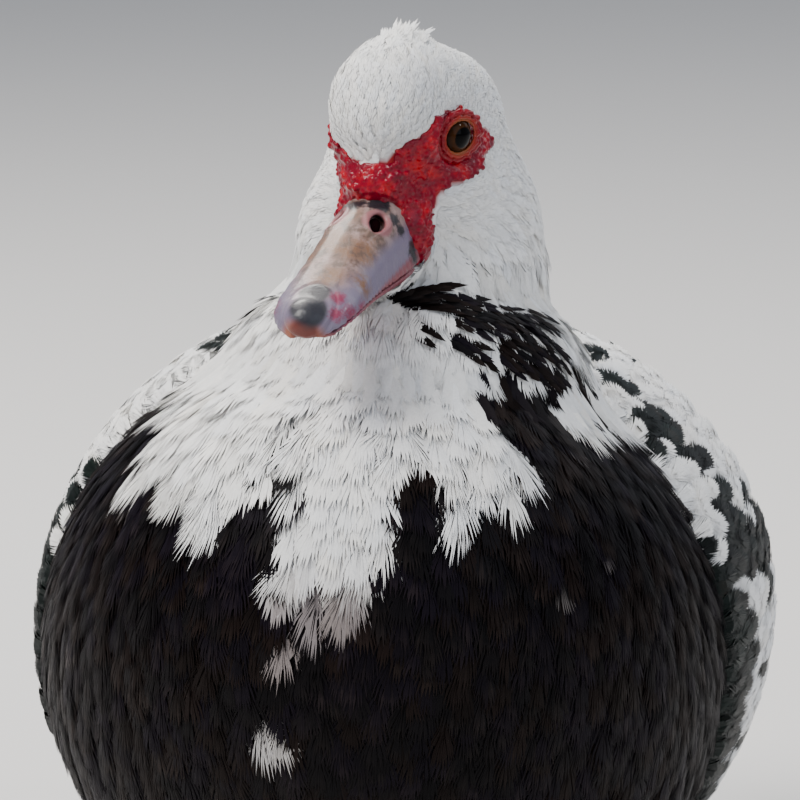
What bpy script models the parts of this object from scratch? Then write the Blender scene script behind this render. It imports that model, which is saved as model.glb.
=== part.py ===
"""A muscovy duck standing at rest, life size, as a still museum model.

The bird faces -Y, its left side is +X, +Z is up and the floor is z = 0.
Sizes are written in millimetres, from the middle of the trunk, and become
metres in the frame of the whole bird when a mesh is finished.
"""

import math
import random

import bmesh
import bpy
from mathutils import Matrix, Vector

MM = 0.001
# Points nearer than this, in metres, count as one when scraps are sought.
TOUCHING = 2e-6
GAP = 0.3
ORIGIN_BEHIND_TRUNK_MIDDLE = 87.5

# The trunk, in stations from breast to tail: place along Y, height of its
# middle, half width, reach upwards, reach downwards.
TRUNK = (
    (-172, 174, 6, 6, 6),
    (-167, 174, 30, 31, 29),
    (-156, 172, 51, 53, 49),
    (-135, 167, 75, 77, 73),
    (-105, 160, 94, 97, 92),
    (-60, 153.5, 107, 105, 100),
    (-5, 152, 111, 101, 103),
    (55, 152.5, 107, 91, 96),
    (105, 158, 91, 74, 79),
    (150, 170, 68, 52, 53),
    (190, 183, 38, 26, 28),
)
TRUNK_SIDES = 36
LEAN = math.radians(3.5)
LEAN_ABOUT = 155
TAIL_CUT = 190

# The neck, in level stations: height, middle across, middle along, half
# width, half depth.
NECK = (
    (225, 5, -54, 66, 67),
    (248, 7, -56, 58, 63),
    (262, 8, -58, 49, 57),
    (270, 9.5, -57, 44, 52),
    (275, 11, -55.5, 40, 46),
    (286, 11.8, -54.5, 37.8, 42),
    (298, 12.4, -54, 35.6, 38.5),
    (308, 13, -55, 30.8, 35),
    (318, 12, -57, 27.5, 31),
    (330, 10, -61, 22, 25),
    (340, 9, -65, 13, 15),
)
NECK_SIDES = 28
NECK_CUT = 262.5

# The head's own frame has its origin between the brows.
HEAD_AT = Vector((7.5, -95, 323))
HEAD_TURN = math.radians(-19)
HEAD_NOD = math.radians(19)
# Triangles left in the whole body before each node is cut out of it.
HEAD_FACES = 6900
NECK_FACES = 4200
TORSO_FACES = 2000
HEAD_CUT_AT = Vector((0, -12, -44))
HEAD_CUT_TILT = math.radians(8)

# Rounded masses of the head: middle, then radii, in the head's frame.
SKULL = ((0, 12, 1), (19.5, 29, 20.5))
CROWN = ((0, 10, 6.5), (15.5, 23, 18.3))
FOREHEAD = ((0, -1, 9.5), (17.5, 19, 19))
NAPE = ((1, 28, -13), (20, 25, 26))
KNOB = ((0, -13, -8), (11.5, 11.5, 8))
FACE = ((0, -6, -22), (15, 19, 13.5))
CHIN = ((0, -10, -36), (11, 20, 7))
BROW = ((9, 1, 0), (11.5, 14, 12))
CHEEK = ((8, 12, -20), (16, 24, 20))
JOWL = ((6, -4, -26), (9.5, 14, 12))

EYE_AT = Vector((15.8, 6.5, -2.2))
EYE_FORWARD = math.radians(22)
EYE_RADIUS = 6.8
SOCKET_RADIUS = 7.4
LID_OUT = 4.3
LID_RING = 6.0
LID_THICK = 1.45

# The bill, in stations along its length: place, half width, height of its
# ridge, height of its cutting edge, squareness of its back.
BILL = (
    (-12, 12.0, -7.5, -34.0, 2.2),
    (-24, 12.8, -10.5, -33.2, 2.4),
    (-33, 12.6, -11.8, -32.0, 2.6),
    (-44, 12.3, -14.2, -30.2, 2.5),
    (-55, 12.8, -17.0, -28.6, 2.4),
    (-64, 13.2, -19.2, -27.6, 2.4),
    (-70, 12.2, -20.6, -27.8, 2.3),
    (-74.5, 9.0, -22.6, -29.2, 2.1),
    (-77, 5.0, -25.0, -30.6, 2.0),
    (-78, 2.0, -27.0, -30.6, 2.0),
)
BILL_SIDES = 16
LOWER_BILL_INSET = 1.0
LOWER_BILL_DEEP = 5
NOSTRIL_AT = Vector((7.0, -30.8, -14.0))
NOSTRIL = Vector((2.4, 3.3, 2.2))
NOSTRIL_TILT = math.radians(12)
CREST_LOCKS = 12
CREST_AT = Vector((0.5, 6, 26.5))
CREST_REACH = Vector((8, 11, 0))
LOCK_LENGTH = 12
# Along a lock: share of its length, half width, half depth.
LOCK_SHAPE = ((0, 3.6, 2.4), (0.55, 4.2, 2.2), (0.85, 3.0, 1.4), (1, 1.0, 0.6))
NAIL_AT = Vector((0, -71.5, -25.6))
NAIL = Vector((7, 7.4, 6))

# The folded wing lies on an envelope round the trunk: place along Y, height
# of its middle, half width, reach upwards, reach downwards.
WING_ENVELOPE = (
    (-80, 154, 104, 104, 98),
    (-50, 153.5, 110, 108, 101),
    (-20, 153, 114.5, 106, 103),
    (20, 152.5, 117, 103, 102),
    (60, 154, 115.5, 96, 97),
    (100, 159, 106, 84, 87),
    (140, 167, 87, 69, 71),
    (180, 177, 63, 50, 51),
    (220, 189, 42, 32, 33),
    (260, 200, 26, 18, 18),
    (290, 208, 16, 10, 8),
)
# The wing's lower and upper edges on that envelope, in degrees above level.
WING_EDGES = (
    (-60, -6, 34),
    (-35, -22, 56),
    (0, -30, 66),
    (40, -31, 71),
    (80, -27, 76),
    (120, -19, 80),
)
WING_CORE_FROM = -60
WING_CORE_TO = 112
WING_CORE_TOP = ((-60, -7), (-45, -3), (0, -2), (40, -3.2), (80, -4.4), (112, -6))
WING_CORE_DEEP = 11

# Tiers of the folded wing, the lowest first. Each has its count, the roots of
# its lowest and highest feather as place along Y and degrees, their tips in
# the same way, and how far its roots and its surface stand off the envelope.
WING_TIERS = (
    (5, (60, -26), (70, 50), (148, -13), (172, 58), -4.8, -3.6),
    (3, (46, 48), (50, 76), (176, 57), (204, 87), -3.6, -2.4),
    (6, (16, -28), (26, 55), (90, -25), (104, 58), -3.6, -2.4),
    (5, (-20, -26), (-10, 52), (42, -28), (52, 54), -2.6, -1.2),
    (4, (-56, -8), (-50, 40), (-2, -27), (8, 50), -8, 0.0),
    (3, (-4, 50), (12, 76), (94, 50), (120, 84), -2.0, -0.6),
    (3, (-46, 42), (-32, 68), (34, 46), (52, 77), -8, 0.6),
)
# Towards the back the wing's upper edge hugs the trunk.
WING_TUCK_FROM = 55
WING_TUCK = 0.16
TIER_STEP = 1.0
TIER_RIDGE = 0.3
TIER_THICK = 2.4
# Rows of a tier: how far a feather's edges and its shaft reach, as shares of
# its length, and how far its edges draw in, as a share of its width.
TIER_ROWS = ((0, 0, 0), (0.45, 0.45, 0), (0.82, 0.82, 0), (0.95, 1, 0.24))
TAIL_ROWS = ((0, 0, 0), (0.45, 0.45, 0), (0.945, 0.945, 0), (0.985, 1, 0.26))

PRIMARIES = 5
PRIMARY_ROOTS = ((98, -12), (98, 40))
PRIMARY_TIPS = ((272, 48), (208, 70))
PRIMARY_WIDTH = 24
PRIMARY_LIFTS = (-11, -4)
PRIMARY_APART = 1.3
VANE_EDGE = 0.9
VANE_RIDGE = 0.3
# Shares of a vane's length, and its width at each as a share of the full one.
VANE_SHAPE = ((0, 0.55), (0.5, 1.0), (0.86, 0.8), (1, 0.16))

TAIL_TIP = 347
# The tail's fan and its coverts: count, root and tip along Y, spread of roots
# and tips across, heights of roots and tips, doming, lift over or under.
TAIL_TIERS = (
    (10, 202, TAIL_TIP, 20, 49, 184, 178, 4.5, 1),
    (6, 200, 280, 24, 36, 189, 184, 6, 1),
    (5, 192, 246, 29, 31, 196, 188, 12, 1),
    (5, 192, 268, 26, 33, 172, 176, 10, -1),
)
TAIL_CORE = ((190, 183, 37, 25), (212, 183.5, 33, 14), (236, 182, 25, 5))

LEG_OUT = 50
HEEL = Vector((LEG_OUT, 30, 52))
ANKLE = Vector((LEG_OUT, 5, 12))
THIGH_TOP = Vector((LEG_OUT + 4, 8, 96))
TOES = (
    ("inner", -24, 44),
    ("middle", 3, 60),
    ("outer", 27, 55),
    ("hind", 196, 17),
)
TOE_RADIUS = 4.6
TOE_TIP_RADIUS = 2.9
CLAW_LENGTH = 10


def along(table, at):
    """Reads a table of stations at any place, on a smooth curve through them."""
    last = len(table) - 1
    at = min(max(at, table[0][0]), table[last][0])
    i = 0
    while i < last - 1 and at > table[i + 1][0]:
        i += 1
    a, b = table[i], table[i + 1]
    before, after = table[max(i - 1, 0)], table[min(i + 2, last)]
    span = b[0] - a[0]
    t = (at - a[0]) / span
    row = []
    for k in range(1, len(a)):
        slope_a = (b[k] - before[k]) / (b[0] - before[0]) * span
        slope_b = (after[k] - a[k]) / (after[0] - a[0]) * span
        row.append(
            (2 * t**3 - 3 * t**2 + 1) * a[k]
            + (t**3 - 2 * t**2 + t) * slope_a
            + (3 * t**2 - 2 * t**3) * b[k]
            + (t**3 - t**2) * slope_b
        )
    return row


def mix(a, b, share):
    return a + (b - a) * share


def finished(name, bm):
    """Makes an object of a mesh that was drawn in millimetres."""
    bmesh.ops.recalc_face_normals(bm, faces=bm.faces)
    mesh = bpy.data.meshes.new(name)
    bm.to_mesh(mesh)
    bm.free()
    obj = bpy.data.objects.new(name, mesh)
    bpy.context.scene.collection.objects.link(obj)
    return obj


def loft(name, rings):
    """A closed body through rings of equal count, each end closed by a fan."""
    bm = bmesh.new()
    rows = [[bm.verts.new(p) for p in ring] for ring in rings]
    count = len(rows[0])
    for near, far in zip(rows, rows[1:]):
        for i in range(count):
            j = (i + 1) % count
            bm.faces.new((near[i], near[j], far[j]))
            bm.faces.new((near[i], far[j], far[i]))
    for ring in (rows[0], rows[-1]):
        middle = bm.verts.new(sum((v.co for v in ring), Vector()) / count)
        for i in range(count):
            bm.faces.new((ring[i], ring[(i + 1) % count], middle))
    return finished(name, bm)


def plate(name, top, under):
    """A closed plate between two like grids of points, split alike on both."""
    bm = bmesh.new()
    sheets = [[[bm.verts.new(p) for p in row] for row in grid] for grid in (top, under)]
    rows, columns = len(top), len(top[0])
    for sheet in sheets:
        for i in range(rows - 1):
            for j in range(columns - 1):
                a, b = sheet[i][j], sheet[i][j + 1]
                c, d = sheet[i + 1][j + 1], sheet[i + 1][j]
                bm.faces.new((a, b, c))
                bm.faces.new((a, c, d))
    border = [(0, j) for j in range(columns - 1)]
    border += [(i, columns - 1) for i in range(rows - 1)]
    border += [(rows - 1, j) for j in range(columns - 1, 0, -1)]
    border += [(i, 0) for i in range(rows - 1, 0, -1)]
    upper, lower = sheets
    for (i, j), (k, m) in zip(border, border[1:] + border[:1]):
        bm.faces.new((upper[i][j], upper[k][m], lower[k][m]))
        bm.faces.new((upper[i][j], lower[k][m], lower[i][j]))
    return finished(name, bm)


def rounded(name, middle, radii, fineness=3, place=None):
    """An ellipsoid. place carries it from the head's frame, for instance."""
    bm = bmesh.new()
    bmesh.ops.create_icosphere(bm, subdivisions=fineness, radius=1)
    shape = Matrix.Translation(Vector(middle)) @ Matrix.Diagonal((*radii, 1))
    bmesh.ops.transform(bm, matrix=(place or Matrix()) @ shape, verts=bm.verts)
    return finished(name, bm)


def tube(name, path, radii, sides, flat_floor=False):
    """A tube along points, round or with a flat sole at the floor."""
    rings = []
    for i, point in enumerate(path):
        ahead = (path[min(i + 1, len(path) - 1)] - path[max(i - 1, 0)]).normalized()
        across = ahead.cross(Vector((0, 0, 1)))
        if across.length < 0.2:
            across = Vector((1, 0, 0))
        across.normalize()
        up = across.cross(ahead).normalized()
        ring = []
        for k in range(sides):
            turn = math.tau * (k + 0.5) / sides
            p = point + (across * math.cos(turn) + up * math.sin(turn)) * radii[i]
            if flat_floor:
                p.z = max(p.z, 0)
            ring.append(p)
        rings.append(ring)
    return loft(name, rings)


def remove(obj):
    mesh = obj.data
    bpy.data.objects.remove(obj)
    bpy.data.meshes.remove(mesh)


def copied(obj, name):
    twin = bpy.data.objects.new(name, obj.data.copy())
    bpy.context.scene.collection.objects.link(twin)
    return twin


def settle(obj):
    """Applies the object's modifiers."""
    graph = bpy.context.evaluated_depsgraph_get()
    mesh = bpy.data.meshes.new_from_object(obj.evaluated_get(graph))
    old = obj.data
    obj.modifiers.clear()
    obj.data = mesh
    bpy.data.meshes.remove(old)
    return obj


def keep_largest(obj, strict=False):
    """Keeps the largest closed surface, and drops scraps and sealed hollows.

    It walks from face to face over edges. If strict, points that all but
    touch are merged first, and an edge where more than two faces meet ends
    the walk, so a scrap that hangs on by an edge goes as well.
    """
    bm = bmesh.new()
    bm.from_mesh(obj.data)
    if strict:
        bmesh.ops.remove_doubles(bm, verts=bm.verts, dist=TOUCHING)
    left, groups = set(bm.faces), []
    while left:
        first = left.pop()
        group, front = {first}, [first]
        while front:
            for edge in front.pop().edges:
                if strict and len(edge.link_faces) != 2:
                    continue
                for other in edge.link_faces:
                    if other in left:
                        left.remove(other)
                        group.add(other)
                        front.append(other)
        groups.append(group)
    groups.sort(key=len)
    for group in groups[:-1]:
        bmesh.ops.delete(bm, geom=list(group), context="FACES")
    bm.to_mesh(obj.data)
    bm.free()
    return obj


def without_idle_points(obj):
    """Drops the points that a Boolean leaves on straight edges and flat faces."""
    bm = bmesh.new()
    bm.from_mesh(obj.data)
    bmesh.ops.dissolve_limit(
        bm, angle_limit=math.radians(0.4), verts=bm.verts, edges=bm.edges
    )
    bmesh.ops.triangulate(bm, faces=bm.faces)
    bm.to_mesh(obj.data)
    bm.free()
    return obj


def combine(obj, others, operation, solver="EXACT"):
    """One Boolean on a collection of closed meshes, which are then removed."""
    others = [other for other in others if other]
    tools = bpy.data.collections.new("tools")
    bpy.context.scene.collection.children.link(tools)
    for other in others:
        tools.objects.link(other)
    modifier = obj.modifiers.new("combine", "BOOLEAN")
    modifier.operation = operation
    modifier.operand_type = "COLLECTION"
    modifier.collection = tools
    modifier.solver = solver
    settle(obj)
    for other in others:
        remove(other)
    bpy.data.collections.remove(tools)
    return without_idle_points(keep_largest(obj))


def cut(obj, at, facing):
    """Cuts off what lies past a plane, on the side that facing points to."""
    bm = bmesh.new()
    bm.from_mesh(obj.data)
    bmesh.ops.bisect_plane(
        bm,
        geom=bm.verts[:] + bm.edges[:] + bm.faces[:],
        dist=1e-5,
        plane_co=at,
        plane_no=facing,
        clear_outer=True,
    )
    rim = [edge for edge in bm.edges if edge.is_boundary]
    bmesh.ops.holes_fill(bm, edges=rim)
    bmesh.ops.triangulate(bm, faces=bm.faces)
    bmesh.ops.recalc_face_normals(bm, faces=bm.faces)
    bm.to_mesh(obj.data)
    bm.free()
    return keep_largest(obj)


def grown(obj, name, by=GAP):
    """A copy whose skin lies further out, to cut clear of the first."""
    twin = copied(obj, name)
    for vert, normal in zip(twin.data.vertices, obj.data.vertex_normals):
        vert.co = vert.co + Vector(normal.vector) * by * 1.15
    return twin


def thinned(obj, name, faces):
    """A copy with about that many faces."""
    twin = copied(obj, name)
    modifier = twin.modifiers.new("thin", "DECIMATE")
    modifier.ratio = faces / (2 * len(obj.data.polygons))
    modifier.use_collapse_triangulate = True
    return keep_largest(settle(twin))


def material(name, colour, roughness):
    made = bpy.data.materials.new(name)
    made.use_nodes = True
    shader = made.node_tree.nodes["Principled BSDF"]
    shader.inputs["Base Color"].default_value = (*colour, 1)
    shader.inputs["Roughness"].default_value = roughness
    shader.inputs["Metallic"].default_value = 0
    made.diffuse_color = (*colour, 1)
    return made


def named(obj, name, finish):
    """Gives a node its name and finish, and its place in the whole bird."""
    obj.name = name
    obj.data.name = name
    obj.data.materials.clear()
    obj.data.materials.append(finish)
    place = Matrix.Scale(MM, 4) @ Matrix.Translation((0, -ORIGIN_BEHIND_TRUNK_MIDDLE, 0))
    obj.data.transform(place)
    obj.data.update()
    return obj


def head_frame():
    turned = Matrix.Rotation(HEAD_TURN, 4, "Z") @ Matrix.Rotation(HEAD_NOD, 4, "X")
    return Matrix.Translation(HEAD_AT) @ turned


def lean(point):
    """The trunk, wings and tail lean a little to the bird's left."""
    about = Vector((0, 0, LEAN_ABOUT))
    return Matrix.Rotation(LEAN, 3, "Y") @ (Vector(point) - about) + about


def mirrored(point, side):
    return Vector((point[0] * side, point[1], point[2]))


def trunk():
    places = [TRUNK[0][0], TRUNK[1][0], TRUNK[2][0], -146]
    places += [-130 + 20 * i for i in range(16)] + [TAIL_CUT + 8]
    rings = []
    for y in places:
        high, wide, up, down = along(TRUNK, y)
        ring = []
        for k in range(TRUNK_SIDES):
            turn = math.tau * k / TRUNK_SIDES
            reach = up if math.sin(turn) > 0 else down
            p = (wide * math.cos(turn), y, high + reach * math.sin(turn))
            ring.append(lean(p))
        rings.append(ring)
    return loft("trunk", rings)


def neck_column():
    rings = []
    for i in range(21):
        z = mix(NECK[0][0], NECK[-1][0], i / 20)
        across, fore, wide, deep = along(NECK, z)
        rings.append(
            [
                Vector((across + wide * math.cos(a), fore + deep * math.sin(a), z))
                for a in (math.tau * k / NECK_SIDES for k in range(NECK_SIDES))
            ]
        )
    return loft("neck_column", rings)


def body_in_one():
    """Head, neck and trunk as one smooth body, before it is parted."""
    place = head_frame()
    masses = [neck_column()]
    for middle, radii in (SKULL, CROWN, FOREHEAD, NAPE, KNOB, FACE, CHIN):
        masses.append(rounded("mass", middle, radii, 4, place))
    for side in (1, -1):
        for middle, radii in (CHEEK, BROW, JOWL):
            masses.append(rounded("mass", mirrored(middle, side), radii, 4, place))
    body = combine(trunk(), masses, "UNION", "MANIFOLD")
    remesh = body.modifiers.new("even", "REMESH")
    remesh.mode = "VOXEL"
    remesh.voxel_size = 2.4
    smooth = body.modifiers.new("smooth", "SMOOTH")
    smooth.factor = 0.5
    smooth.iterations = 9
    return keep_largest(settle(body))


def eyeball(side, name, radius, fineness):
    return rounded(name, mirrored(EYE_AT, side), (radius,) * 3, fineness, head_frame())


def lid_ring(side):
    """The lids as one almond ring round the eye, its corners fore and aft."""
    place = head_frame()
    gaze = Matrix.Rotation(-EYE_FORWARD, 3, "Z")
    rings = []
    count, sides = 12, 5
    for i in range(count):
        turn = math.tau * i / count
        out = Vector((0, math.cos(turn) * 1.12, math.sin(turn) * 0.92))
        middle = Vector((LID_OUT, 0, 0)) + out * LID_RING
        ring = []
        for k in range(sides):
            roll = math.tau * k / sides
            p = middle + (out * math.cos(roll) + Vector((1, 0, 0)) * math.sin(roll)) * LID_THICK
            ring.append(place @ mirrored(EYE_AT + gaze @ p, side))
        rings.append(ring)
    bm = bmesh.new()
    rows = [[bm.verts.new(p) for p in ring] for ring in rings]
    for i in range(count):
        near, far = rows[i], rows[(i + 1) % count]
        for k in range(sides):
            m = (k + 1) % sides
            bm.faces.new((near[k], near[m], far[m]))
            bm.faces.new((near[k], far[m], far[k]))
    return finished("lids", bm)


def caruncles():
    """Bulbs of bare skin round the bill's base, round each eye and between."""
    draw = random.Random(11)
    spots = []
    for i in range(10):
        turn = mix(-1.75, 1.75, i / 9)
        drop = (1 - math.cos(turn)) / (1 - math.cos(1.75))
        spots.append((Vector((13.6 * math.sin(turn), -23 + 8 * drop, -9.5 - 24 * drop)), 3.1))
    for x in (-9, -3, 3, 9):
        spots.append((Vector((x, -15, -6.5 - 0.02 * x * x)), 3.2))
    for side in (1, -1):
        for i in range(8):
            turn = math.tau * i / 8
            off_eye = Vector((1.8, 9.8 * math.cos(turn), 9.4 * math.sin(turn)))
            spots.append((mirrored(EYE_AT + off_eye, side), 2.4))
        for i in range(3):
            spots.append((Vector((side * mix(14.5, 12, i / 2), mix(-9, -17, i / 2), -4 - 3 * i)), 3.0))
            spots.append((Vector((side * 20, mix(3, 15, i / 2), -13)), 2.8))
        for i in range(4):
            down_lores = Vector((mix(14.6, 13.6, i / 3), mix(-13, -17, i / 3), mix(-14, -33, i / 3)))
            spots.append((mirrored(down_lores, side), 3.0))
        spots.append((mirrored(Vector((19.3, 21, -10.5)), side), 3.4))
    bulbs = []
    for middle, size in spots:
        size *= draw.uniform(0.85, 1.2)
        bulbs.append(rounded("bulb", middle, (size, size, size), 1, head_frame()))
    return bulbs


def crest():
    """Short ruffled locks on the crown, pointing up and back."""
    draw = random.Random(23)
    locks = []
    for k in range(CREST_LOCKS):
        turn = 2.4 * k
        reach = math.sqrt((k + 0.5) / CREST_LOCKS)
        x, y = CREST_REACH.x * reach * math.cos(turn), CREST_REACH.y * reach * math.sin(turn)
        root = CREST_AT + Vector((x, y, -2 - 0.05 * x * x - 0.02 * y * y))
        ahead = Vector((0.08 * x + draw.uniform(-0.2, 0.2), 0.75 + 0.03 * y, 0.62)).normalized()
        long = LOCK_LENGTH * draw.uniform(0.8, 1.1)
        rings = []
        for share, wide, deep in LOCK_SHAPE:
            middle = root + ahead * long * share + Vector((0, 2.5, -2.5)) * share * share
            across = Vector((1, draw.uniform(-0.1, 0.1), 0)).normalized()
            up = across.cross(ahead)
            ring = []
            for i in range(4):
                roll = math.tau * i / 4
                p = middle + across * wide * math.cos(roll) + up * deep * math.sin(roll)
                ring.append(head_frame() @ p)
            rings.append(ring)
        locks.append(loft("lock", rings))
    return locks


def upper_bill_body(name, by=0.0):
    place = head_frame()
    first, last = BILL[0][0], BILL[-1][0]
    stations = sorted({*(row[0] for row in BILL), -18, -28.5, -38.5, -49.5, -60})
    rings = []
    flipped = [(-row[0], *row[1:]) for row in BILL]
    for y in sorted(stations, reverse=True):
        wide, ridge, edge, square = along(flipped, -y)
        wide, ridge, edge = wide + by, ridge + by, edge - by
        ends = by if y == first else (-by if y == last else 0)
        ring = []
        for k in range(BILL_SIDES):
            turn = math.pi * k / (BILL_SIDES // 2)
            c, s = math.cos(turn), math.sin(turn)
            x = wide * math.copysign(abs(c) ** (2 / square), c)
            if k <= BILL_SIDES // 2:
                z = edge + (ridge - edge) * abs(s) ** (2 / square)
            else:
                z = edge + 1.2 * abs(s) * (1 - by)
            ring.append(place @ Vector((x, y + ends, z)))
        rings.append(ring)
    return loft(name, rings)


def lower_bill_body(name, by=0.0):
    place = head_frame()
    flipped = [(-row[0], *row[1:]) for row in BILL]
    rings = []
    for i in range(9):
        y = mix(-12, -73, i / 8)
        wide, ridge, edge, square = along(flipped, -y)
        wide = wide - LOWER_BILL_INSET + by
        deep = LOWER_BILL_DEEP * mix(1, 0.5, i / 8)
        ends = by if i == 0 else (-by if i == 8 else 0)
        ring = []
        for k in range(14):
            turn = math.pi * k / 7
            c, s = math.cos(turn), math.sin(turn)
            top = edge - GAP - 0.2 + by
            z = top if k <= 7 else top - (deep + 2 * by) * abs(s) ** 0.8
            ring.append(place @ Vector((wide * c, y + ends, z + (0.15 * s if k <= 7 else 0))))
        rings.append(ring)
    return loft(name, rings)


def upper_bill(name, by=0.0):
    nail = rounded("nail", NAIL_AT, [reach + by for reach in NAIL], 2, head_frame())
    return combine(upper_bill_body(name, by), [nail], "UNION")


def bill():
    """Upper and lower bill: sunk into the head, with nail and nostrils."""
    upper = upper_bill("bill_upper")
    pits = []
    for side in (1, -1):
        tilt = Matrix.Rotation(NOSTRIL_TILT, 4, "X")
        spot = head_frame() @ Matrix.Translation(mirrored(NOSTRIL_AT, side)) @ tilt
        pits.append(rounded("nostril", (0, 0, 0), NOSTRIL, 2, spot))
    upper = combine(upper, pits, "DIFFERENCE")
    lower = combine(lower_bill_body("bill_lower"), [upper_bill("cutter", GAP)], "DIFFERENCE")
    return upper, lower


def head(body, finish):
    place = head_frame()
    up = Vector((0, -math.sin(HEAD_CUT_TILT), math.cos(HEAD_CUT_TILT)))
    flesh = thinned(body, "head", HEAD_FACES)
    cut(flesh, place @ HEAD_CUT_AT, place.to_3x3() @ -up)
    flesh = combine(flesh, [lid_ring(1), lid_ring(-1), *caruncles(), *crest()], "UNION")
    cutters = [
        upper_bill("upper_cutter", GAP),
        lower_bill_body("lower_cutter", GAP),
        eyeball(1, "socket", SOCKET_RADIUS, 2),
        eyeball(-1, "socket", SOCKET_RADIUS, 2),
    ]
    for cutter in cutters:
        flesh = combine(flesh, [cutter], "DIFFERENCE")
    return named(flesh, "head", finish)


def neck(body, finish):
    place = head_frame()
    up = Vector((0, -math.sin(HEAD_CUT_TILT), math.cos(HEAD_CUT_TILT)))
    turned = place.to_3x3() @ up
    flesh = thinned(body, "neck", NECK_FACES)
    cut(flesh, place @ HEAD_CUT_AT - turned * GAP, turned)
    cut(flesh, Vector((0, 0, NECK_CUT)), Vector((0, 0, -1)))
    return named(flesh, "neck", finish)


def torso(body, finish):
    flesh = thinned(body, "torso", TORSO_FACES)
    cut(flesh, Vector((0, 0, NECK_CUT - GAP)), Vector((0, 0, 1)))
    cut(flesh, Vector((0, TAIL_CUT, 0)), Vector((0, 1, 0)))
    return flesh


def on_wing(side, y, degrees, lift):
    """A point on the wing's envelope, raised off it by lift."""
    high, wide, up, down = along(WING_ENVELOPE, y)
    turn = math.radians(degrees)
    reach = up if degrees > 0 else down
    x = (wide + lift) * math.cos(turn)
    return lean((side * x, y, high + (reach + lift) * math.sin(turn)))


def tier(place, count, leaning, shares):
    """Feathers side by side, each lapping over the next, as one closed sheet.

    place turns a share across, a share along and a height into a point, and
    leaning tells which of a feather's edges is the raised one.
    """
    bm = bmesh.new()
    top, under = [], []
    for edge_reach, shaft_reach, inset in shares:
        row = []
        for k in range(count):
            tilt = TIER_STEP / 2 * leaning((k + 0.5) / count)
            left, right = (k + inset) / count, (k + 1 - inset) / count
            row.append(bm.verts.new(place(left, edge_reach, tilt)))
            row.append(bm.verts.new(place((k + 0.5) / count, shaft_reach, TIER_RIDGE)))
            row.append(bm.verts.new(place(right, edge_reach, -tilt)))
        top.append(row)
    for edge_reach, shaft_reach, inset in shares[:-1]:
        places = [place(k / count, edge_reach, -TIER_THICK) for k in range(count + 1)]
        under.append([bm.verts.new(p) for p in places])
    for i, (near, far) in enumerate(zip(top, top[1:])):
        for j in range(3 * count - 1):
            if j % 3 == 2 and i == len(shares) - 2:
                continue
            bm.faces.new((near[j], near[j + 1], far[j + 1]))
            bm.faces.new((near[j], far[j + 1], far[j]))
    for near, far in zip(under, under[1:]):
        for k in range(count):
            bm.faces.new((near[k], near[k + 1], far[k + 1]))
            bm.faces.new((near[k], far[k + 1], far[k]))
    for k in range(count):
        j = 3 * k
        front, a, b = top[0], under[0][k], under[0][k + 1]
        bm.faces.new((front[j], front[j + 1], a))
        bm.faces.new((front[j + 1], a, b))
        bm.faces.new((front[j + 1], front[j + 2], b))
        back, tip, a, b = top[-2], top[-1], under[-1][k], under[-1][k + 1]
        bm.faces.new((back[j], tip[j], a))
        bm.faces.new((tip[j], tip[j + 1], a))
        bm.faces.new((tip[j + 1], a, b))
        bm.faces.new((tip[j + 1], tip[j + 2], b))
        bm.faces.new((tip[j + 2], back[j + 2], b))
        if k < count - 1:
            bm.faces.new((front[j + 2], front[j + 3], under[0][k + 1]))
            bm.faces.new((back[j + 2], back[j + 3], b))
    for column, k in ((0, 0), (3 * count - 1, count)):
        for i in range(len(under) - 1):
            bm.faces.new((top[i][column], top[i + 1][column], under[i + 1][k]))
            bm.faces.new((top[i][column], under[i + 1][k], under[i][k]))
    return finished("tier", bm)


def vane(middles, outs, widths, bend):
    """One feather as a thin closed vane, ridged along its shaft."""
    bm = bmesh.new()
    rows = []
    last = len(middles) - 1
    for i, (middle, out, wide) in enumerate(zip(middles, outs, widths)):
        ahead = (middles[min(i + 1, last)] - middles[max(i - 1, 0)]).normalized()
        across = ahead.cross(out).normalized() * wide / 2
        up = across.cross(ahead).normalized()
        drop = up * (wide * wide / 4) * bend
        left, right, edge = middle - across - drop, middle + across - drop, up * VANE_EDGE
        ring = (left, middle + up * VANE_RIDGE, right, right - edge, left - edge)
        rows.append([bm.verts.new(p) for p in ring])
    for near, far in zip(rows, rows[1:]):
        for i, j in ((0, 1), (1, 2), (2, 3), (4, 3), (4, 0)):
            bm.faces.new((near[i], near[j], far[j]))
            bm.faces.new((near[i], far[j], far[i]))
    for ring in (rows[0], rows[-1]):
        for i, j, k in ((0, 1, 4), (1, 3, 4), (1, 2, 3)):
            bm.faces.new((ring[i], ring[j], ring[k]))
    return finished("vane", bm)


def primary(side, k):
    """One of the long quills, the lowest of which reaches furthest back."""
    share = k / (PRIMARIES - 1)
    root = [mix(a, b, share) for a, b in zip(*PRIMARY_ROOTS)]
    tip = [mix(a, b, share) for a, b in zip(*PRIMARY_TIPS)]
    middles, outs, widths = [], [], []
    for reach, width in VANE_SHAPE:
        y, degrees = mix(root[0], tip[0], reach), mix(root[1], tip[1], reach)
        lift = mix(*PRIMARY_LIFTS, reach) + PRIMARY_APART * k
        point = on_wing(side, y, degrees, lift)
        middles.append(point)
        outs.append(on_wing(side, y, degrees, lift + 1) - point)
        slim = min(1, along(WING_ENVELOPE, y)[1] / 60)
        widths.append(PRIMARY_WIDTH * width * mix(0.4, 1, slim))
    bend = 0.5 / along(WING_ENVELOPE, mix(root[0], tip[0], 0.5))[1]
    return vane(middles, outs, widths, bend)


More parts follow.
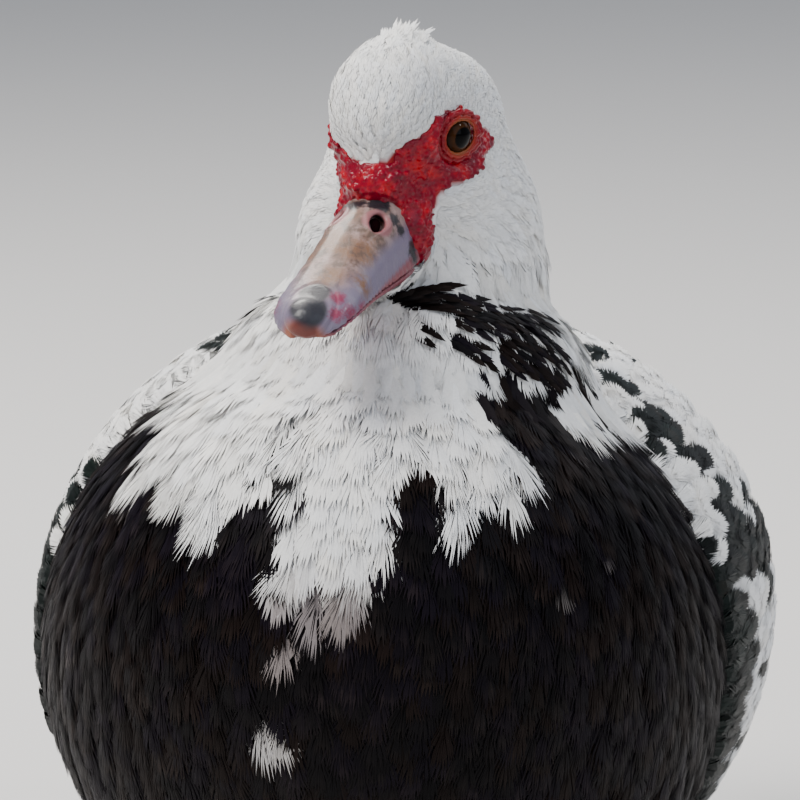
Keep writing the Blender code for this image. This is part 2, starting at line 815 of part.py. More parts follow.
def wing_tier(side, count, root_a, root_b, tip_a, tip_b, lift_root, lift):
    def place(across, reach, height):
        root = [mix(a, b, across) for a, b in zip(root_a, root_b)]
        tip = [mix(a, b, across) for a, b in zip(tip_a, tip_b)]
        y, degrees = mix(root[0], tip[0], reach), mix(root[1], tip[1], reach)
        raised = mix(lift_root, lift, min(1, reach / TIER_ROWS[1][0]))
        raised -= WING_TUCK * max(0, degrees - WING_TUCK_FROM)
        return on_wing(side, y, degrees, raised + height)

    return tier(place, count, lambda across: 1, TIER_ROWS)


def wing(side, clear_of, finish):
    """The folded wing: a core, the long quills, and tiers of lapping feathers."""
    top, under = [], []
    for i in range(7):
        y = mix(WING_CORE_FROM, WING_CORE_TO, i / 6)
        low, high = along(WING_EDGES, y)
        angles = [mix(low + 2, high - 2, j / 5) for j in range(6)]
        rise = along(WING_CORE_TOP, y)[0]
        top.append([on_wing(side, y, a, rise) for a in angles])
        under.append([on_wing(side, y, a, -WING_CORE_DEEP) for a in angles])
    name = "wing_left" if side > 0 else "wing_right"
    folded = plate(name, top, under)
    feathers = [primary(side, k) for k in range(PRIMARIES)]
    feathers += [wing_tier(side, *row) for row in WING_TIERS]
    folded = combine(folded, feathers, "UNION")
    folded = combine(folded, [copied(clear_of, "clear")], "DIFFERENCE")
    return named(keep_largest(folded, strict=True), name, finish)


def tail_tier(count, y_root, y_tip, spread_root, spread_tip, high_root, high_tip, dome, over):
    def place(across, reach, height):
        s = 2 * across - 1
        x = s * mix(spread_root, spread_tip, reach)
        y = mix(y_root, y_tip - 0.2 * (y_tip - y_root) * s * s, reach)
        high = mix(high_root, high_tip, reach) - over * dome * s * s * mix(1, 0.6, reach)
        return lean((x, y, high + over * height))

    return tier(place, count, lambda across: -1 if across > 0.5 else 1, TAIL_ROWS)


def tail(finish):
    """The tail: a core, a fan of long feathers, and coverts over and under."""
    rings = []
    for y, high, wide, deep in TAIL_CORE:
        ring = []
        for k in range(16):
            turn = math.tau * k / 16
            ring.append(lean((wide * math.cos(turn), y, high + deep * math.sin(turn))))
        rings.append(ring)
    fan = combine(loft("tail", rings), [tail_tier(*row) for row in TAIL_TIERS], "UNION")
    cut(fan, Vector((0, TAIL_CUT + GAP, 0)), Vector((0, -1, 0)))
    return named(fan, "tail", finish)


def leg(side, clear_of, flesh, scaly):
    word = "left" if side > 0 else "right"
    top, heel, ankle = (mirrored(p, side) for p in (THIGH_TOP, HEEL, ANKLE))
    thigh = tube("thigh", [mix(top, heel, t) for t in (0, 0.35, 0.7, 1)], (27, 25, 18, 9.5), 16)
    combine(thigh, [copied(clear_of, "clear")], "DIFFERENCE")
    down = (ankle - heel).normalized()
    named(thigh, f"thigh_{word}", flesh)
    path = [heel + down * 2, heel + down * 8, mix(heel, ankle, 0.5), ankle]
    shank = tube("shank", path, (7.2, 6.6, 5.2, 6.0), 12)
    cutter = tube("thigh_end", [mix(top, heel, t) for t in (0, 0.35, 0.7, 1)], (27.3, 25.3, 18.3, 9.8), 16)
    cutter.data.transform(Matrix.Translation((heel - top).normalized() * GAP))
    combine(shank, [cutter], "DIFFERENCE")
    cut(shank, Vector((0, 0, ANKLE.z)), Vector((0, 0, -1)))
    named(shank, f"shank_{word}", scaly)


def foot(side, scaly, horn):
    """Four toes, three of them joined by webs, with a claw on each."""
    word = "left" if side > 0 else "right"
    base = mirrored(Vector((ANKLE.x, ANKLE.y + 1, 0)), side)
    tips, pieces = {}, []
    for name, degrees, length in TOES:
        turn = math.radians(degrees)
        ahead = Vector((side * math.sin(turn), -math.cos(turn), 0))
        rise = 0.85
        steps = (0, 0.34, 0.67, 1)
        widths = [mix(TOE_RADIUS, TOE_TIP_RADIUS, t) for t in steps]
        path = [base + ahead * length * t for t in steps]
        path = [p + Vector((0, 0, r * rise)) for p, r in zip(path, widths)]
        pieces.append(tube("toe", path, widths, 8, flat_floor=True))
        tips[name] = (base + ahead * length, ahead)
        claw_path = [
            path[-1] + ahead * (GAP + CLAW_LENGTH * t) - Vector((0, 0, 1.5 * t * t))
            for t in (0, 0.35, 0.7, 1)
        ]
        claw = tube("claw", claw_path, (2.3, 1.9, 1.2, 0.4), 8, flat_floor=True)
        named(claw, f"claw_{name}_{word}", horn)
    for first, second in (("inner", "middle"), ("middle", "outer")):
        a, b = tips[first][0], tips[second][0]
        top, under = [], []
        for i in range(4):
            out = mix(0.12, 0.9, i / 3)
            row = []
            for j in range(5):
                t = j / 4
                reach = out * (1 - 0.22 * (i / 3) * math.sin(math.pi * t))
                row.append(base + (mix(a, b, t) - base) * reach)
            top.append([p + Vector((0, 0, 2.4)) for p in row])
            under.append([p + Vector((0, 0, 0.9)) for p in row])
        pieces.append(plate("web", top, under))
    hub = rounded("hub", base + Vector((0, 0, 6.2)), (8, 8.5, 6.9), 2)
    joined = combine(hub, pieces, "UNION", "MANIFOLD")
    cut(joined, Vector((0, 0, ANKLE.z - GAP)), Vector((0, 0, 1)))
    cut(joined, Vector(), Vector((0, 0, -1)))
    named(joined, f"foot_{word}", scaly)


def main():
    for obj in list(bpy.data.objects):
        bpy.data.objects.remove(obj)
    white = material("white plumage", (0.80, 0.79, 0.77), 0.8)
    black = material("black plumage", (0.035, 0.028, 0.034), 0.6)
    horn = material("horn", (0.12, 0.11, 0.11), 0.4)
    bill_skin = material("bill skin", (0.74, 0.55, 0.50), 0.45)
    eye = material("eye", (0.12, 0.05, 0.02), 0.05)
    scaly = material("foot skin", (0.62, 0.47, 0.20), 0.6)

    body = body_in_one()
    upper, lower = bill()
    trunk_flesh = torso(body, black)
    clear_of = grown(trunk_flesh, "clear_of_trunk")
    head(body, white)
    neck(body, white)
    for side, word in ((1, "left"), (-1, "right")):
        named(eyeball(side, "eye", EYE_RADIUS, 3), f"eye_{word}", eye)
        wing(side, clear_of, white)
        leg(side, clear_of, black, scaly)
        foot(side, scaly, horn)
    tail(black)
    named(trunk_flesh, "torso", black)
    named(upper, "bill_upper", bill_skin)
    named(lower, "bill_lower", bill_skin)
    remove(clear_of)
    remove(body)


main()
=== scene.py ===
"""The looks of a standing muscovy duck: skin, feathers, bill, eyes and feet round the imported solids."""
import math
import random

import bmesh
import bpy
import numpy as np
from mathutils import Matrix, Vector
from mathutils.bvhtree import BVHTree


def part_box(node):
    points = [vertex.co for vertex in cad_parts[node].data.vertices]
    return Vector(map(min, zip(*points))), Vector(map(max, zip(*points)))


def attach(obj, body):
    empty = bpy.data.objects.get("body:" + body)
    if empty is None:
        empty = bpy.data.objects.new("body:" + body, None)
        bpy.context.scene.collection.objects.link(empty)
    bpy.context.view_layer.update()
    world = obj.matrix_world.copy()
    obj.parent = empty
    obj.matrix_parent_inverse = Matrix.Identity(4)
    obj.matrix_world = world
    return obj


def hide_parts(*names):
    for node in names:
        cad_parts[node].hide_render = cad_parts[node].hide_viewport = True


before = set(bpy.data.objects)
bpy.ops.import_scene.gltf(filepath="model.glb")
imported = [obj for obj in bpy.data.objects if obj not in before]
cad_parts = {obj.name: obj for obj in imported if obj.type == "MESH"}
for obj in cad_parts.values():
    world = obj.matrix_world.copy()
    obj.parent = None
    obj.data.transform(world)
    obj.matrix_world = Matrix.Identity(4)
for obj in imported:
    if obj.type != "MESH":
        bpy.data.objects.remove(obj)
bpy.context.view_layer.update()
bpy.ops.object.select_all(action="DESELECT")
MM = 0.001

# The camera stands a little to the bird's left and above its breast, as the
# photographer did. A long lens fills the frame with the head and the breast.
CAMERA_AZIMUTH, CAMERA_RISE = math.radians(6), math.radians(10)
CAMERA_AWAY = 2.2
LENS = 330
TRUNK_MIDDLE_Y = -0.0875
toward_camera = Vector((
    math.sin(CAMERA_AZIMUTH) * math.cos(CAMERA_RISE),
    -math.cos(CAMERA_AZIMUTH) * math.cos(CAMERA_RISE),
    math.sin(CAMERA_RISE),
))
camera_up = Vector((
    -math.sin(CAMERA_AZIMUTH) * math.sin(CAMERA_RISE),
    math.cos(CAMERA_AZIMUTH) * math.sin(CAMERA_RISE),
    math.cos(CAMERA_RISE),
))
camera_right = camera_up.cross(toward_camera)
aim = camera_up * 0.2215 + toward_camera * 0.150 + Vector((0, TRUNK_MIDDLE_Y, 0))
bpy.ops.object.camera_add(location=aim + toward_camera * CAMERA_AWAY)
camera = bpy.context.object
camera.name = "camera"
camera.data.lens = LENS
camera.data.clip_end = 20
camera.rotation_euler = (-toward_camera).to_track_quat("-Z", "Y").to_euler()
bpy.context.scene.camera = camera

# The floor is one wide pale sheet. Large soft lamps stand in for the bright
# sky, and a small one gives the eyes and the wet skin their glints.
FLOOR_HALF = 12.0


def plain(name, colour, rough):
    material = bpy.data.materials.new(name)
    material.use_nodes = True
    shader = material.node_tree.nodes["Principled BSDF"]
    shader.inputs["Base Color"].default_value = (*colour, 1)
    shader.inputs["Roughness"].default_value = rough
    return material, shader


bpy.ops.mesh.primitive_plane_add(size=2 * FLOOR_HALF, location=(0, 0, 0))
floor = bpy.context.object
floor.name = "floor"
floor.data.materials.append(plain("pale floor", (0.62, 0.61, 0.60), 0.85)[0])


def soft_lamp(name, azimuth, rise, away, size, power, colour):
    """A square lamp that looks at the bird, placed by its bearing and height."""
    a, e = math.radians(azimuth), math.radians(rise)
    out = Vector((math.sin(a) * math.cos(e), -math.cos(a) * math.cos(e), math.sin(e)))
    bpy.ops.object.light_add(type="AREA", location=out * away + Vector((0, -0.05, 0.2)))
    lamp = bpy.context.object
    lamp.name = name
    lamp.data.size = size
    lamp.data.energy = power
    lamp.data.color = colour
    lamp.rotation_euler = (-out).to_track_quat("-Z", "Y").to_euler()


soft_lamp("key lamp", -46, 50, 2.2, 0.9, 60, (1.0, 0.97, 0.93))
soft_lamp("fill lamp", 48, 22, 2.6, 1.8, 15, (0.80, 0.88, 1.0))
soft_lamp("glint lamp", -8, 58, 1.8, 0.10, 3.5, (1.0, 1.0, 1.0))
soft_lamp("eye glint lamp", 80, 40, 1.8, 0.16, 4.0, (1.0, 1.0, 1.0))
soft_lamp("back lamp", -150, 52, 2.0, 0.8, 50, (1.0, 0.96, 0.90))
soft_lamp("back fill lamp", 135, 35, 2.6, 1.6, 16, (0.92, 0.95, 1.0))
world = bpy.data.worlds.new("studio")
bpy.context.scene.world = world
world.use_nodes = True
world.node_tree.nodes["Background"].inputs["Color"].default_value = (0.80, 0.87, 1.0, 1)
world.node_tree.nodes["Background"].inputs["Strength"].default_value = 0.40

# The skin is one closed surface over head, neck, trunk and thighs. It lies
# under the outline of the solids by the depth of the plumage there, and it
# carries the same markings as the feathers that grow on it.
HEAD_TURN, HEAD_NOD = math.radians(-19), math.radians(19)
HEAD_MASSES = (
    ((0, 12, 1), (19.5, 29, 20.5)),
    ((0, 10, 6.5), (15.5, 23, 18.3)),
    ((0, -1, 9.5), (17.5, 19, 19)),
    ((1, 28, -13), (20, 25, 26)),
    ((0, -13, -8), (11.5, 11.5, 8)),
    ((0, -6, -22), (15, 19, 13.5)),
    ((0, -10, -36), (11, 20, 7)),
)
HEAD_MASSES_IN_PAIRS = (
    ((11.2, -13.5, -25), (4.3, 7.5, 12)),
    ((8, 12, -20), (16, 24, 20)),
    ((9, 1, 0), (11.5, 14, 12)),
    ((6, -4, -26), (9.5, 14, 12)),
)
FLESH_NODES = ("neck", "torso", "thigh_left", "thigh_right")
EYES_BACK, EYES_UP = 6.5, -2.2


def middle_of(node):
    low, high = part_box(node)
    return (low + high) / 2


head_place = (
    Matrix.Translation((middle_of("eye_left") + middle_of("eye_right")) / 2)
    @ Matrix.Rotation(HEAD_TURN, 4, "Z")
    @ Matrix.Rotation(HEAD_NOD, 4, "X")
    @ Matrix.Translation(Vector((0, -EYES_BACK, -EYES_UP)) * MM)
)
head_back = head_place.inverted()


def copy_of(node):
    """A loose copy of a solid, its doubles merged, to model on."""
    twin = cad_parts[node].copy()
    twin.data = twin.data.copy()
    twin.parent = None
    twin.animation_data_clear()
    for key in list(twin.keys()):
        del twin[key]
    bpy.context.scene.collection.objects.link(twin)
    mesh = bmesh.new()
    mesh.from_mesh(twin.data)
    bmesh.ops.remove_doubles(mesh, verts=mesh.verts, dist=0.02 * MM)
    mesh.to_mesh(twin.data)
    mesh.free()
    twin.data.materials.clear()
    return twin


def joined(name, pieces):
    bpy.ops.object.select_all(action="DESELECT")
    for piece in pieces:
        piece.select_set(True)
    bpy.context.view_layer.objects.active = pieces[0]
    bpy.ops.object.join()
    whole = bpy.context.object
    whole.name = name
    return whole


def settled(obj):
    """Applies the modifiers in turn, and the object's own place after them."""
    bpy.ops.object.select_all(action="DESELECT")
    obj.select_set(True)
    bpy.context.view_layer.objects.active = obj
    for modifier in list(obj.modifiers):
        bpy.ops.object.modifier_apply(modifier=modifier.name)
    bpy.ops.object.transform_apply(location=True, rotation=True, scale=True)
    return obj


def fused(obj, voxel, rounds):
    """Melts overlapping closed shapes into one even, smooth surface."""
    remesh = obj.modifiers.new("fuse", "REMESH")
    remesh.mode = "VOXEL"
    remesh.voxel_size = voxel
    remesh.use_smooth_shade = True
    if rounds:
        smooth = obj.modifiers.new("smooth", "SMOOTH")
        smooth.factor = 0.5
        smooth.iterations = rounds
    return settled(obj)


def ball(middle, radii, place, segments=32):
    """An egg shape at a place of the head's own frame, in millimetres."""
    bpy.ops.mesh.primitive_uv_sphere_add(
        segments=segments, ring_count=segments // 2, radius=1, location=(0, 0, 0)
    )
    egg = bpy.context.object
    scale = Matrix.Diagonal((*(Vector(radii) * MM), 1))
    egg.data.transform(place @ Matrix.Translation(Vector(middle) * MM) @ scale)
    return egg


def smooth_step(value, low, high):
    share = np.clip((value - low) / (high - low), 0, 1)
    return share * share * (3 - 2 * share)


def in_head(points):
    """Places in the head's own frame, in millimetres: across, back and up."""
    turn = np.array(head_back.to_3x3())
    return (points @ turn.T + np.array(head_back.translation)) / MM


# The edges of the bare face: bearing from the bill round the head in degrees,
# and height in mm.
MASK_TOP = (
    (0, -1.6), (14, -1.0), (22, 2.4), (34, 4.0), (44, 4.4), (55, 7.6), (66, 7.8), (90, 6.6),
    (113, 4.0), (126, -3), (132, -8), (138, -14), (150, -30),
)
MASK_LOW = (
    (0, -37), (20, -38), (27, -37.5), (34, -34.5), (38, -31), (42, -27), (44, -22), (49, -17.4),
    (63, -16), (77, -14.8), (96, -17), (114, -14.5), (124, -13.5), (137, -14.8), (150, -10),
)


def bare(points):
    """How deep a place lies in the bare face, in millimetres, past its edge."""
    place = in_head(points)
    across, back, up = np.abs(place[:, 0]), place[:, 1], place[:, 2]
    bearing = np.degrees(np.arctan2(across, 5 - back))
    top = np.interp(bearing, *np.array(MASK_TOP).T)
    low = np.interp(bearing, *np.array(MASK_LOW).T)
    top = top - 2.5 * smooth_step(-place[:, 0], 4, 9)
    wave = 0.5 * np.sin(back * 0.9 + across) + 0.5 * np.sin(up * 1.3 + 2)
    return np.minimum(top - up, up - low) + wave


def coat_depth(points):
    """How thick the plumage is, from the face to the trunk, in metres."""
    body = 0.8 + 2.8 * smooth_step(0.300 - points[:, 2], 0.0, 0.06)
    legs = smooth_step(0.085 - points[:, 2], 0.0, 0.02)
    body = body * (1 - 0.6 * legs)
    return MM * np.where(in_head(points)[:, 2] > -40, np.where(bare(points) > 0, 0.9, body), body)


def as_seen(points):
    """Places as the camera sees them: across and above the middle of its view, in mm."""
    off = (points - np.array(aim)) / MM
    return off @ np.array(camera_right), off @ np.array(camera_up)


def neck_crease(points):
    """How much deeper the skin lies in the folds on both sides, where neck and trunk meet."""
    across, high = as_seen(points)
    left = np.exp(-(((high - 31) / 6.5) ** 2)) * smooth_step(across, 12, 38)
    right = np.exp(-(((high - 38) / 7.5) ** 2)) * smooth_step(-across, 14, 34)
    return 4.2 * MM * (left + right) * (points[:, 1] < -0.02)


LEAN, LEAN_ABOUT = math.radians(3.5), 155


def leaned(x, y, z):
    """A place given from the trunk's middle, in millimetres, as the bird leans."""
    high = z - LEAN_ABOUT
    across = x * math.cos(LEAN) + high * math.sin(LEAN)
    return Vector((across, y, LEAN_ABOUT - x * math.sin(LEAN) + high * math.cos(LEAN))) * MM + Vector(
        (0, TRUNK_MIDDLE_Y, 0)
    )


def nape():
    """The back of the solid head, cut off behind its crest and its caruncles."""
    back = copy_of("head")
    bpy.ops.object.select_all(action="DESELECT")
    back.select_set(True)
    bpy.context.view_layer.objects.active = back
    bpy.ops.object.mode_set(mode="EDIT")
    bpy.ops.mesh.select_all(action="SELECT")
    turned = head_place.to_3x3()
    bpy.ops.mesh.bisect(
        plane_co=head_place @ (Vector((0, 10, -20)) * MM),
        plane_no=turned @ Vector((0, -1, 1)).normalized(),
        use_fill=True, clear_outer=True,
    )
    bpy.ops.object.mode_set(mode="OBJECT")
    return back


skin_parts = [copy_of(node) for node in FLESH_NODES] + [nape()]
skin_parts.append(ball((0, 0, 0), (33, 46, 15), Matrix.Translation(leaned(0, 204, 185))))
for middle, radii in HEAD_MASSES:
    skin_parts.append(ball(middle, radii, head_place))
for middle, radii in HEAD_MASSES_IN_PAIRS:
    skin_parts.append(ball(middle, radii, head_place))
    skin_parts.append(ball((-middle[0], middle[1], middle[2]), radii, head_place))
skin = fused(joined("skin", skin_parts), 2.3 * MM, 12)


def coordinates(obj):
    flat = np.empty(3 * len(obj.data.vertices))
    obj.data.vertices.foreach_get("co", flat)
    return flat.reshape(-1, 3)


def normals(obj):
    flat = np.empty(3 * len(obj.data.vertices))
    obj.data.vertices.foreach_get("normal", flat)
    return flat.reshape(-1, 3)


EYE_RADIUS, EYE_FORWARD = 6.7, math.radians(22)


def gaze(side):
    """The way an eye looks: aside, turned a little forward."""
    aside = Vector((side * math.cos(EYE_FORWARD), -math.sin(EYE_FORWARD), 0))
    return head_place.to_3x3() @ aside


def from_gaze(points, side):
    """How far places lie from the line along which an eye looks, in mm."""
    middle = np.array(middle_of("eye_left" if side > 0 else "eye_right"))
    return np.linalg.norm(np.cross(points - middle, np.array(gaze(side))), axis=1) / MM


def sunk_at_eyes(points, least):
    """Places pressed in round both eyes, so that the lids lie open. Least is in mm."""
    for side in (1, -1):
        middle = np.array(middle_of("eye_left" if side > 0 else "eye_right"))
        out = np.array(gaze(side))
        high = (points - middle) @ out / MM
        apart = from_gaze(points, side)
        cap = least + 0.25 * np.maximum(0, apart - 6.5) + 0.9 * np.maximum(0, apart - 8.3)
        over = np.where(high > 0, np.maximum(0, high - cap), 0) * smooth_step(13 - apart, 0, 3.5)
        points = points - 0.85 * over[:, None] * out * MM
    return points


outline = coordinates(skin)
pulled_in = outline - normals(skin) * (coat_depth(outline) + neck_crease(outline))[:, None]
pulled_in = sunk_at_eyes(pulled_in, 2.0)
skin.data.vertices.foreach_set("co", pulled_in.ravel())
skin.data.update()
skin_tree = BVHTree.FromPolygons(
    [tuple(p) for p in coordinates(skin)], [tuple(f.vertices) for f in skin.data.polygons]
)

# Markings: white head and neck, a white bib with ragged lobes on the breast
# and a fading streak below it, on black with a brown and purple sheen. Black
# streaks cross the base of the neck, most of them on the bird's left.
BIB = (
    # across and above the middle of the view, in mm, as the camera sees the feather tips
    (-52, 44), (-59, 19), (-68, 6), (-77, -12), (-82, -30), (-74, -36), (-66, -43), (-57, -48),
    (-50, -47), (-48, -38), (-46, -28), (-40, -23), (-33, -27), (-29, -37), (-32, -47), (-39, -61),
    (-40, -71), (-28, -70), (-16, -73), (-9, -68), (-6, -59), (-3, -53), (-3, -43), (1, -34),
    (5, -30), (10, -33), (14, -40), (18, -43), (26, -43), (34, -42), (41, -38), (37, -25), (28, -12),
    (24, -4), (33, 1), (46, -2), (60, -1), (65, 12), (62, 44),
)
WHITE_TUFTS = (
    # both ends of each as the camera sees it, half width, share of white feathers
    (-38, -68, -34, -90, 3.0, 0.85),
    (-40, -106, -33, -109, 2.6, 0.9),
    (56, -12, 69, -14, 4.5, 0.9),
    (50, 14, 68, -4, 6, 0.5),
    (-84, 8, -72, 28, 8, 0.5),
)


def inside(outline, across, high):
    within = np.zeros(len(across), bool)
    for (x1, z1), (x2, z2) in zip(outline, outline[1:] + outline[:1]):
        if z1 == z2:
            continue
        crossed = x1 + (high - z1) * (x2 - x1) / (z2 - z1)
        within ^= ((z1 > high) != (z2 > high)) & (across < crossed)
    return within


def near_capsule(across, high, lobe):
    x1, z1, x2, z2, half = lobe[:5]
    along_x, along_z = x2 - x1, z2 - z1
    share = ((across - x1) * along_x + (high - z1) * along_z) / (along_x**2 + along_z**2)
    share = np.clip(share, 0, 1)
    gap = np.hypot(across - x1 - share * along_x, high - z1 - share * along_z)
    return gap - half


def white_share(points, ragged, lot):
    """Where the plumage is white. Ragged shifts the edges in mm, lot decides in the tufts."""
    back, high = points[:, 1] / MM, points[:, 2] / MM
    across, above = as_seen(points)
    front = back < -115
    white = front & inside(BIB, across + ragged, above + 0.6 * ragged)
    for tuft in WHITE_TUFTS:
        white |= front & (near_capsule(across, above, tuft) < 0) & (lot < tuft[5])
    white |= 246 - 0.175 * back - high < 0.8 * ragged
    thigh = (high < 82) & (back > -110) & (back < -20)
    white |= thigh & (lot < 0.45)
    vent = (back > 40) & (high < 150)
    white |= vent & (lot < 0.35)
    return white | (in_head(points)[:, 2] > -36)


WHITE = np.array((0.86, 0.855, 0.84))
BLACK = np.array((0.016, 0.012, 0.014))
skin_points = coordinates(skin)
still = np.zeros(len(skin_points))
skin_white = white_share(skin_points, still, still + 0.6)[:, None]
skin_colour = skin_white * WHITE * 0.9 + (1 - skin_white) * BLACK
flushed = bare(skin_points) > 0
head_part = in_head(skin_points)[:, 2] > -40
skin_colour[flushed & head_part] = (0.30, 0.01, 0.015)


def paint(obj, colours):
    layer = obj.data.color_attributes.new("plumage", "FLOAT_COLOR", "POINT")
    full = np.ones((len(colours), 4), np.float32)
    full[:, :3] = colours
    layer.data.foreach_set("color", full.ravel())


paint(skin, skin_colour)


def links(material):
    tree = material.node_tree
    shader = tree.nodes["Principled BSDF"]

    def node(kind, **values):
        made = tree.nodes.new(kind)
        for key, value in values.items():
            if key in made.inputs:
                made.inputs[key].default_value = value
            else:
                setattr(made, key, value)
        return made

    return tree, shader, node


def plumage(name, rough, sheen, sheen_tint, grain, shine=0.3):
    """Feather stuff: the painted colour, broken by fine fibres, with a soft sheen."""
    material, shader = plain(name, (0.5, 0.5, 0.5), rough)
    tree, shader, node = links(material)
    shader.inputs["Sheen Weight"].default_value = sheen
    shader.inputs["Sheen Roughness"].default_value = 0.45
    shader.inputs["Sheen Tint"].default_value = (*sheen_tint, 1)
    shader.inputs["Specular IOR Level"].default_value = shine
    colour = node("ShaderNodeAttribute", attribute_name="plumage")
    place = node("ShaderNodeTexCoord")
    fibres = node("ShaderNodeTexNoise", Scale=grain, Detail=4.0, Roughness=0.65)
    ramp = node("ShaderNodeMapRange")
    ramp.inputs["To Min"].default_value = 0.80
    ramp.inputs["To Max"].default_value = 1.12
    mixer = node("ShaderNodeMix", data_type="RGBA", blend_type="MULTIPLY")
    mixer.inputs["Factor"].default_value = 1.0
    bump = node("ShaderNodeBump", Strength=0.25, Distance=0.0003)
    tree.links.new(place.outputs["Object"], fibres.inputs["Vector"])
    tree.links.new(fibres.outputs["Fac"], ramp.inputs["Value"])
    tree.links.new(colour.outputs["Color"], mixer.inputs[6])
    tree.links.new(ramp.outputs["Result"], mixer.inputs[7])
    tree.links.new(mixer.outputs[2], shader.inputs["Base Color"])
    tree.links.new(fibres.outputs["Fac"], bump.inputs["Height"])
    tree.links.new(bump.outputs["Normal"], shader.inputs["Normal"])
    return material


white_plumage = plumage("white plumage", 0.75, 0.12, (0.92, 0.96, 1.0), 900)
black_plumage = plumage("black plumage", 0.50, 0.006, (0.62, 0.45, 0.60), 700, 0.06)
skin.data.materials.append(plumage("skin under the plumage", 0.8, 0, (1, 1, 1), 500))
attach(skin, "root")
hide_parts("head", *FLESH_NODES)

# The bare face is red skin, thick and wet-looking, grown all over with round
# caruncles. They crowd round each eye and in a band over the bill's base.
CARUNCLE_GAP = 1.9
def off_lids(points):
    left = in_head(points)[:, 0] > 0
    return np.where(left, from_gaze(points, 1), from_gaze(points, -1)) > 7.6


def scattered(obj, gap_of, seed, keep):
    """Evenly spread places on a surface: a random draw, thinned to a least gap."""
    draw = np.random.default_rng(seed)
    mesh = obj.data
    mesh.calc_loop_triangles()
    flat = np.empty(3 * len(mesh.loop_triangles), np.int32)
    mesh.loop_triangles.foreach_get("vertices", flat)
    corners = coordinates(obj)[flat.reshape(-1, 3)]
    middles = corners.mean(axis=1)
    wanted = keep(middles)
    corners, middles = corners[wanted], middles[wanted]
    area = np.linalg.norm(
        np.cross(corners[:, 1] - corners[:, 0], corners[:, 2] - corners[:, 0]), axis=1
    ) / 2
    gaps = gap_of(middles)
    share = area / gaps**2
    count = int(share.sum() * 5)
    picked = draw.choice(len(area), count, p=share / share.sum())
    a, b = draw.random(count), draw.random(count)
    flip = a + b > 1
    a[flip], b[flip] = 1 - a[flip], 1 - b[flip]
    found = (
        corners[picked, 0]
        + (corners[picked, 1] - corners[picked, 0]) * a[:, None]
        + (corners[picked, 2] - corners[picked, 0]) * b[:, None]
    )
    gaps = gaps[picked]
    cell = float(gaps.max())
    grid, kept = {}, []
    keys = np.floor(found / cell).astype(int)
    around = [(i, j, k) for i in (-1, 0, 1) for j in (-1, 0, 1) for k in (-1, 0, 1)]
    points = found.tolist()
    for index, (key, point, least) in enumerate(zip(keys.tolist(), points, gaps.tolist())):
        free = True
        for step in around:
            cell_key = (key[0] + step[0], key[1] + step[1], key[2] + step[2])
            for other in grid.get(cell_key, ()):
                q = points[other]
                if (
                    (q[0] - point[0]) ** 2 + (q[1] - point[1]) ** 2 + (q[2] - point[2]) ** 2
                    < least * least
                ):
                    free = False
                    break
            if not free:
                break
        if free:
            grid.setdefault(tuple(key), []).append(index)
            kept.append(index)
    return found[kept]


def on_skin(point):
    place, normal, _, _ = skin_tree.find_nearest(point)
    return place, normal


def bare_face():
    """A thick sheet under many bulbs, all melted into one skin."""
    sheet = skin.copy()
    sheet.data = skin.data.copy()
    sheet.parent = None
    for key in list(sheet.keys()):
        del sheet[key]
    bpy.context.scene.collection.objects.link(sheet)
    mesh = bmesh.new()
    mesh.from_mesh(sheet.data)
    places = np.array([tuple(v.co) for v in mesh.verts])
    outside = ~((bare(places) > -0.8) & (in_head(places)[:, 2] > -40))
    bmesh.ops.delete(mesh, geom=[v for v, off in zip(mesh.verts, outside) if off], context="VERTS")
    mesh.to_mesh(sheet.data)
    mesh.free()
    thick = sheet.modifiers.new("thick", "SOLIDIFY")
    thick.thickness = 2.2 * MM
    thick.offset = -0.3
    settled(sheet)
    draw = random.Random(5)
    roots = scattered(
        skin, lambda p: np.full(len(p), CARUNCLE_GAP * MM), 3,
        lambda p: (bare(p) > 0.7) & (in_head(p)[:, 2] > -38) & off_lids(p),
    )
    bpy.ops.mesh.primitive_ico_sphere_add(subdivisions=2, radius=1, location=(0, 0, 0))
    pattern = bpy.context.object
    bulbs = [sheet]
    for root in roots:
        place, normal = on_skin(root)
        depth = float(bare(np.array([root]))[0])
        size = draw.uniform(0.65, 1.25) * (0.70 + 0.075 * min(depth, 6)) * MM
        tall = size * draw.uniform(0.8, 1.25)
        turned = normal.to_track_quat("Z", "Y").to_matrix().to_4x4()
        bulb = pattern.copy()
        bulb.data = pattern.data.copy()
        bpy.context.scene.collection.objects.link(bulb)
        spot = Matrix.Translation(place + normal * 0.55 * MM) @ turned
        bulb.data.transform(spot @ Matrix.Diagonal((size, size, tall, 1)))
        bulbs.append(bulb)
    bpy.data.objects.remove(pattern)
    whole = fused(joined("bare_face", bulbs), 0.42 * MM, 2)
    whole.data.vertices.foreach_set("co", sunk_at_eyes(coordinates(whole), 3.2).ravel())
    whole.data.update()
    return whole


face = bare_face()


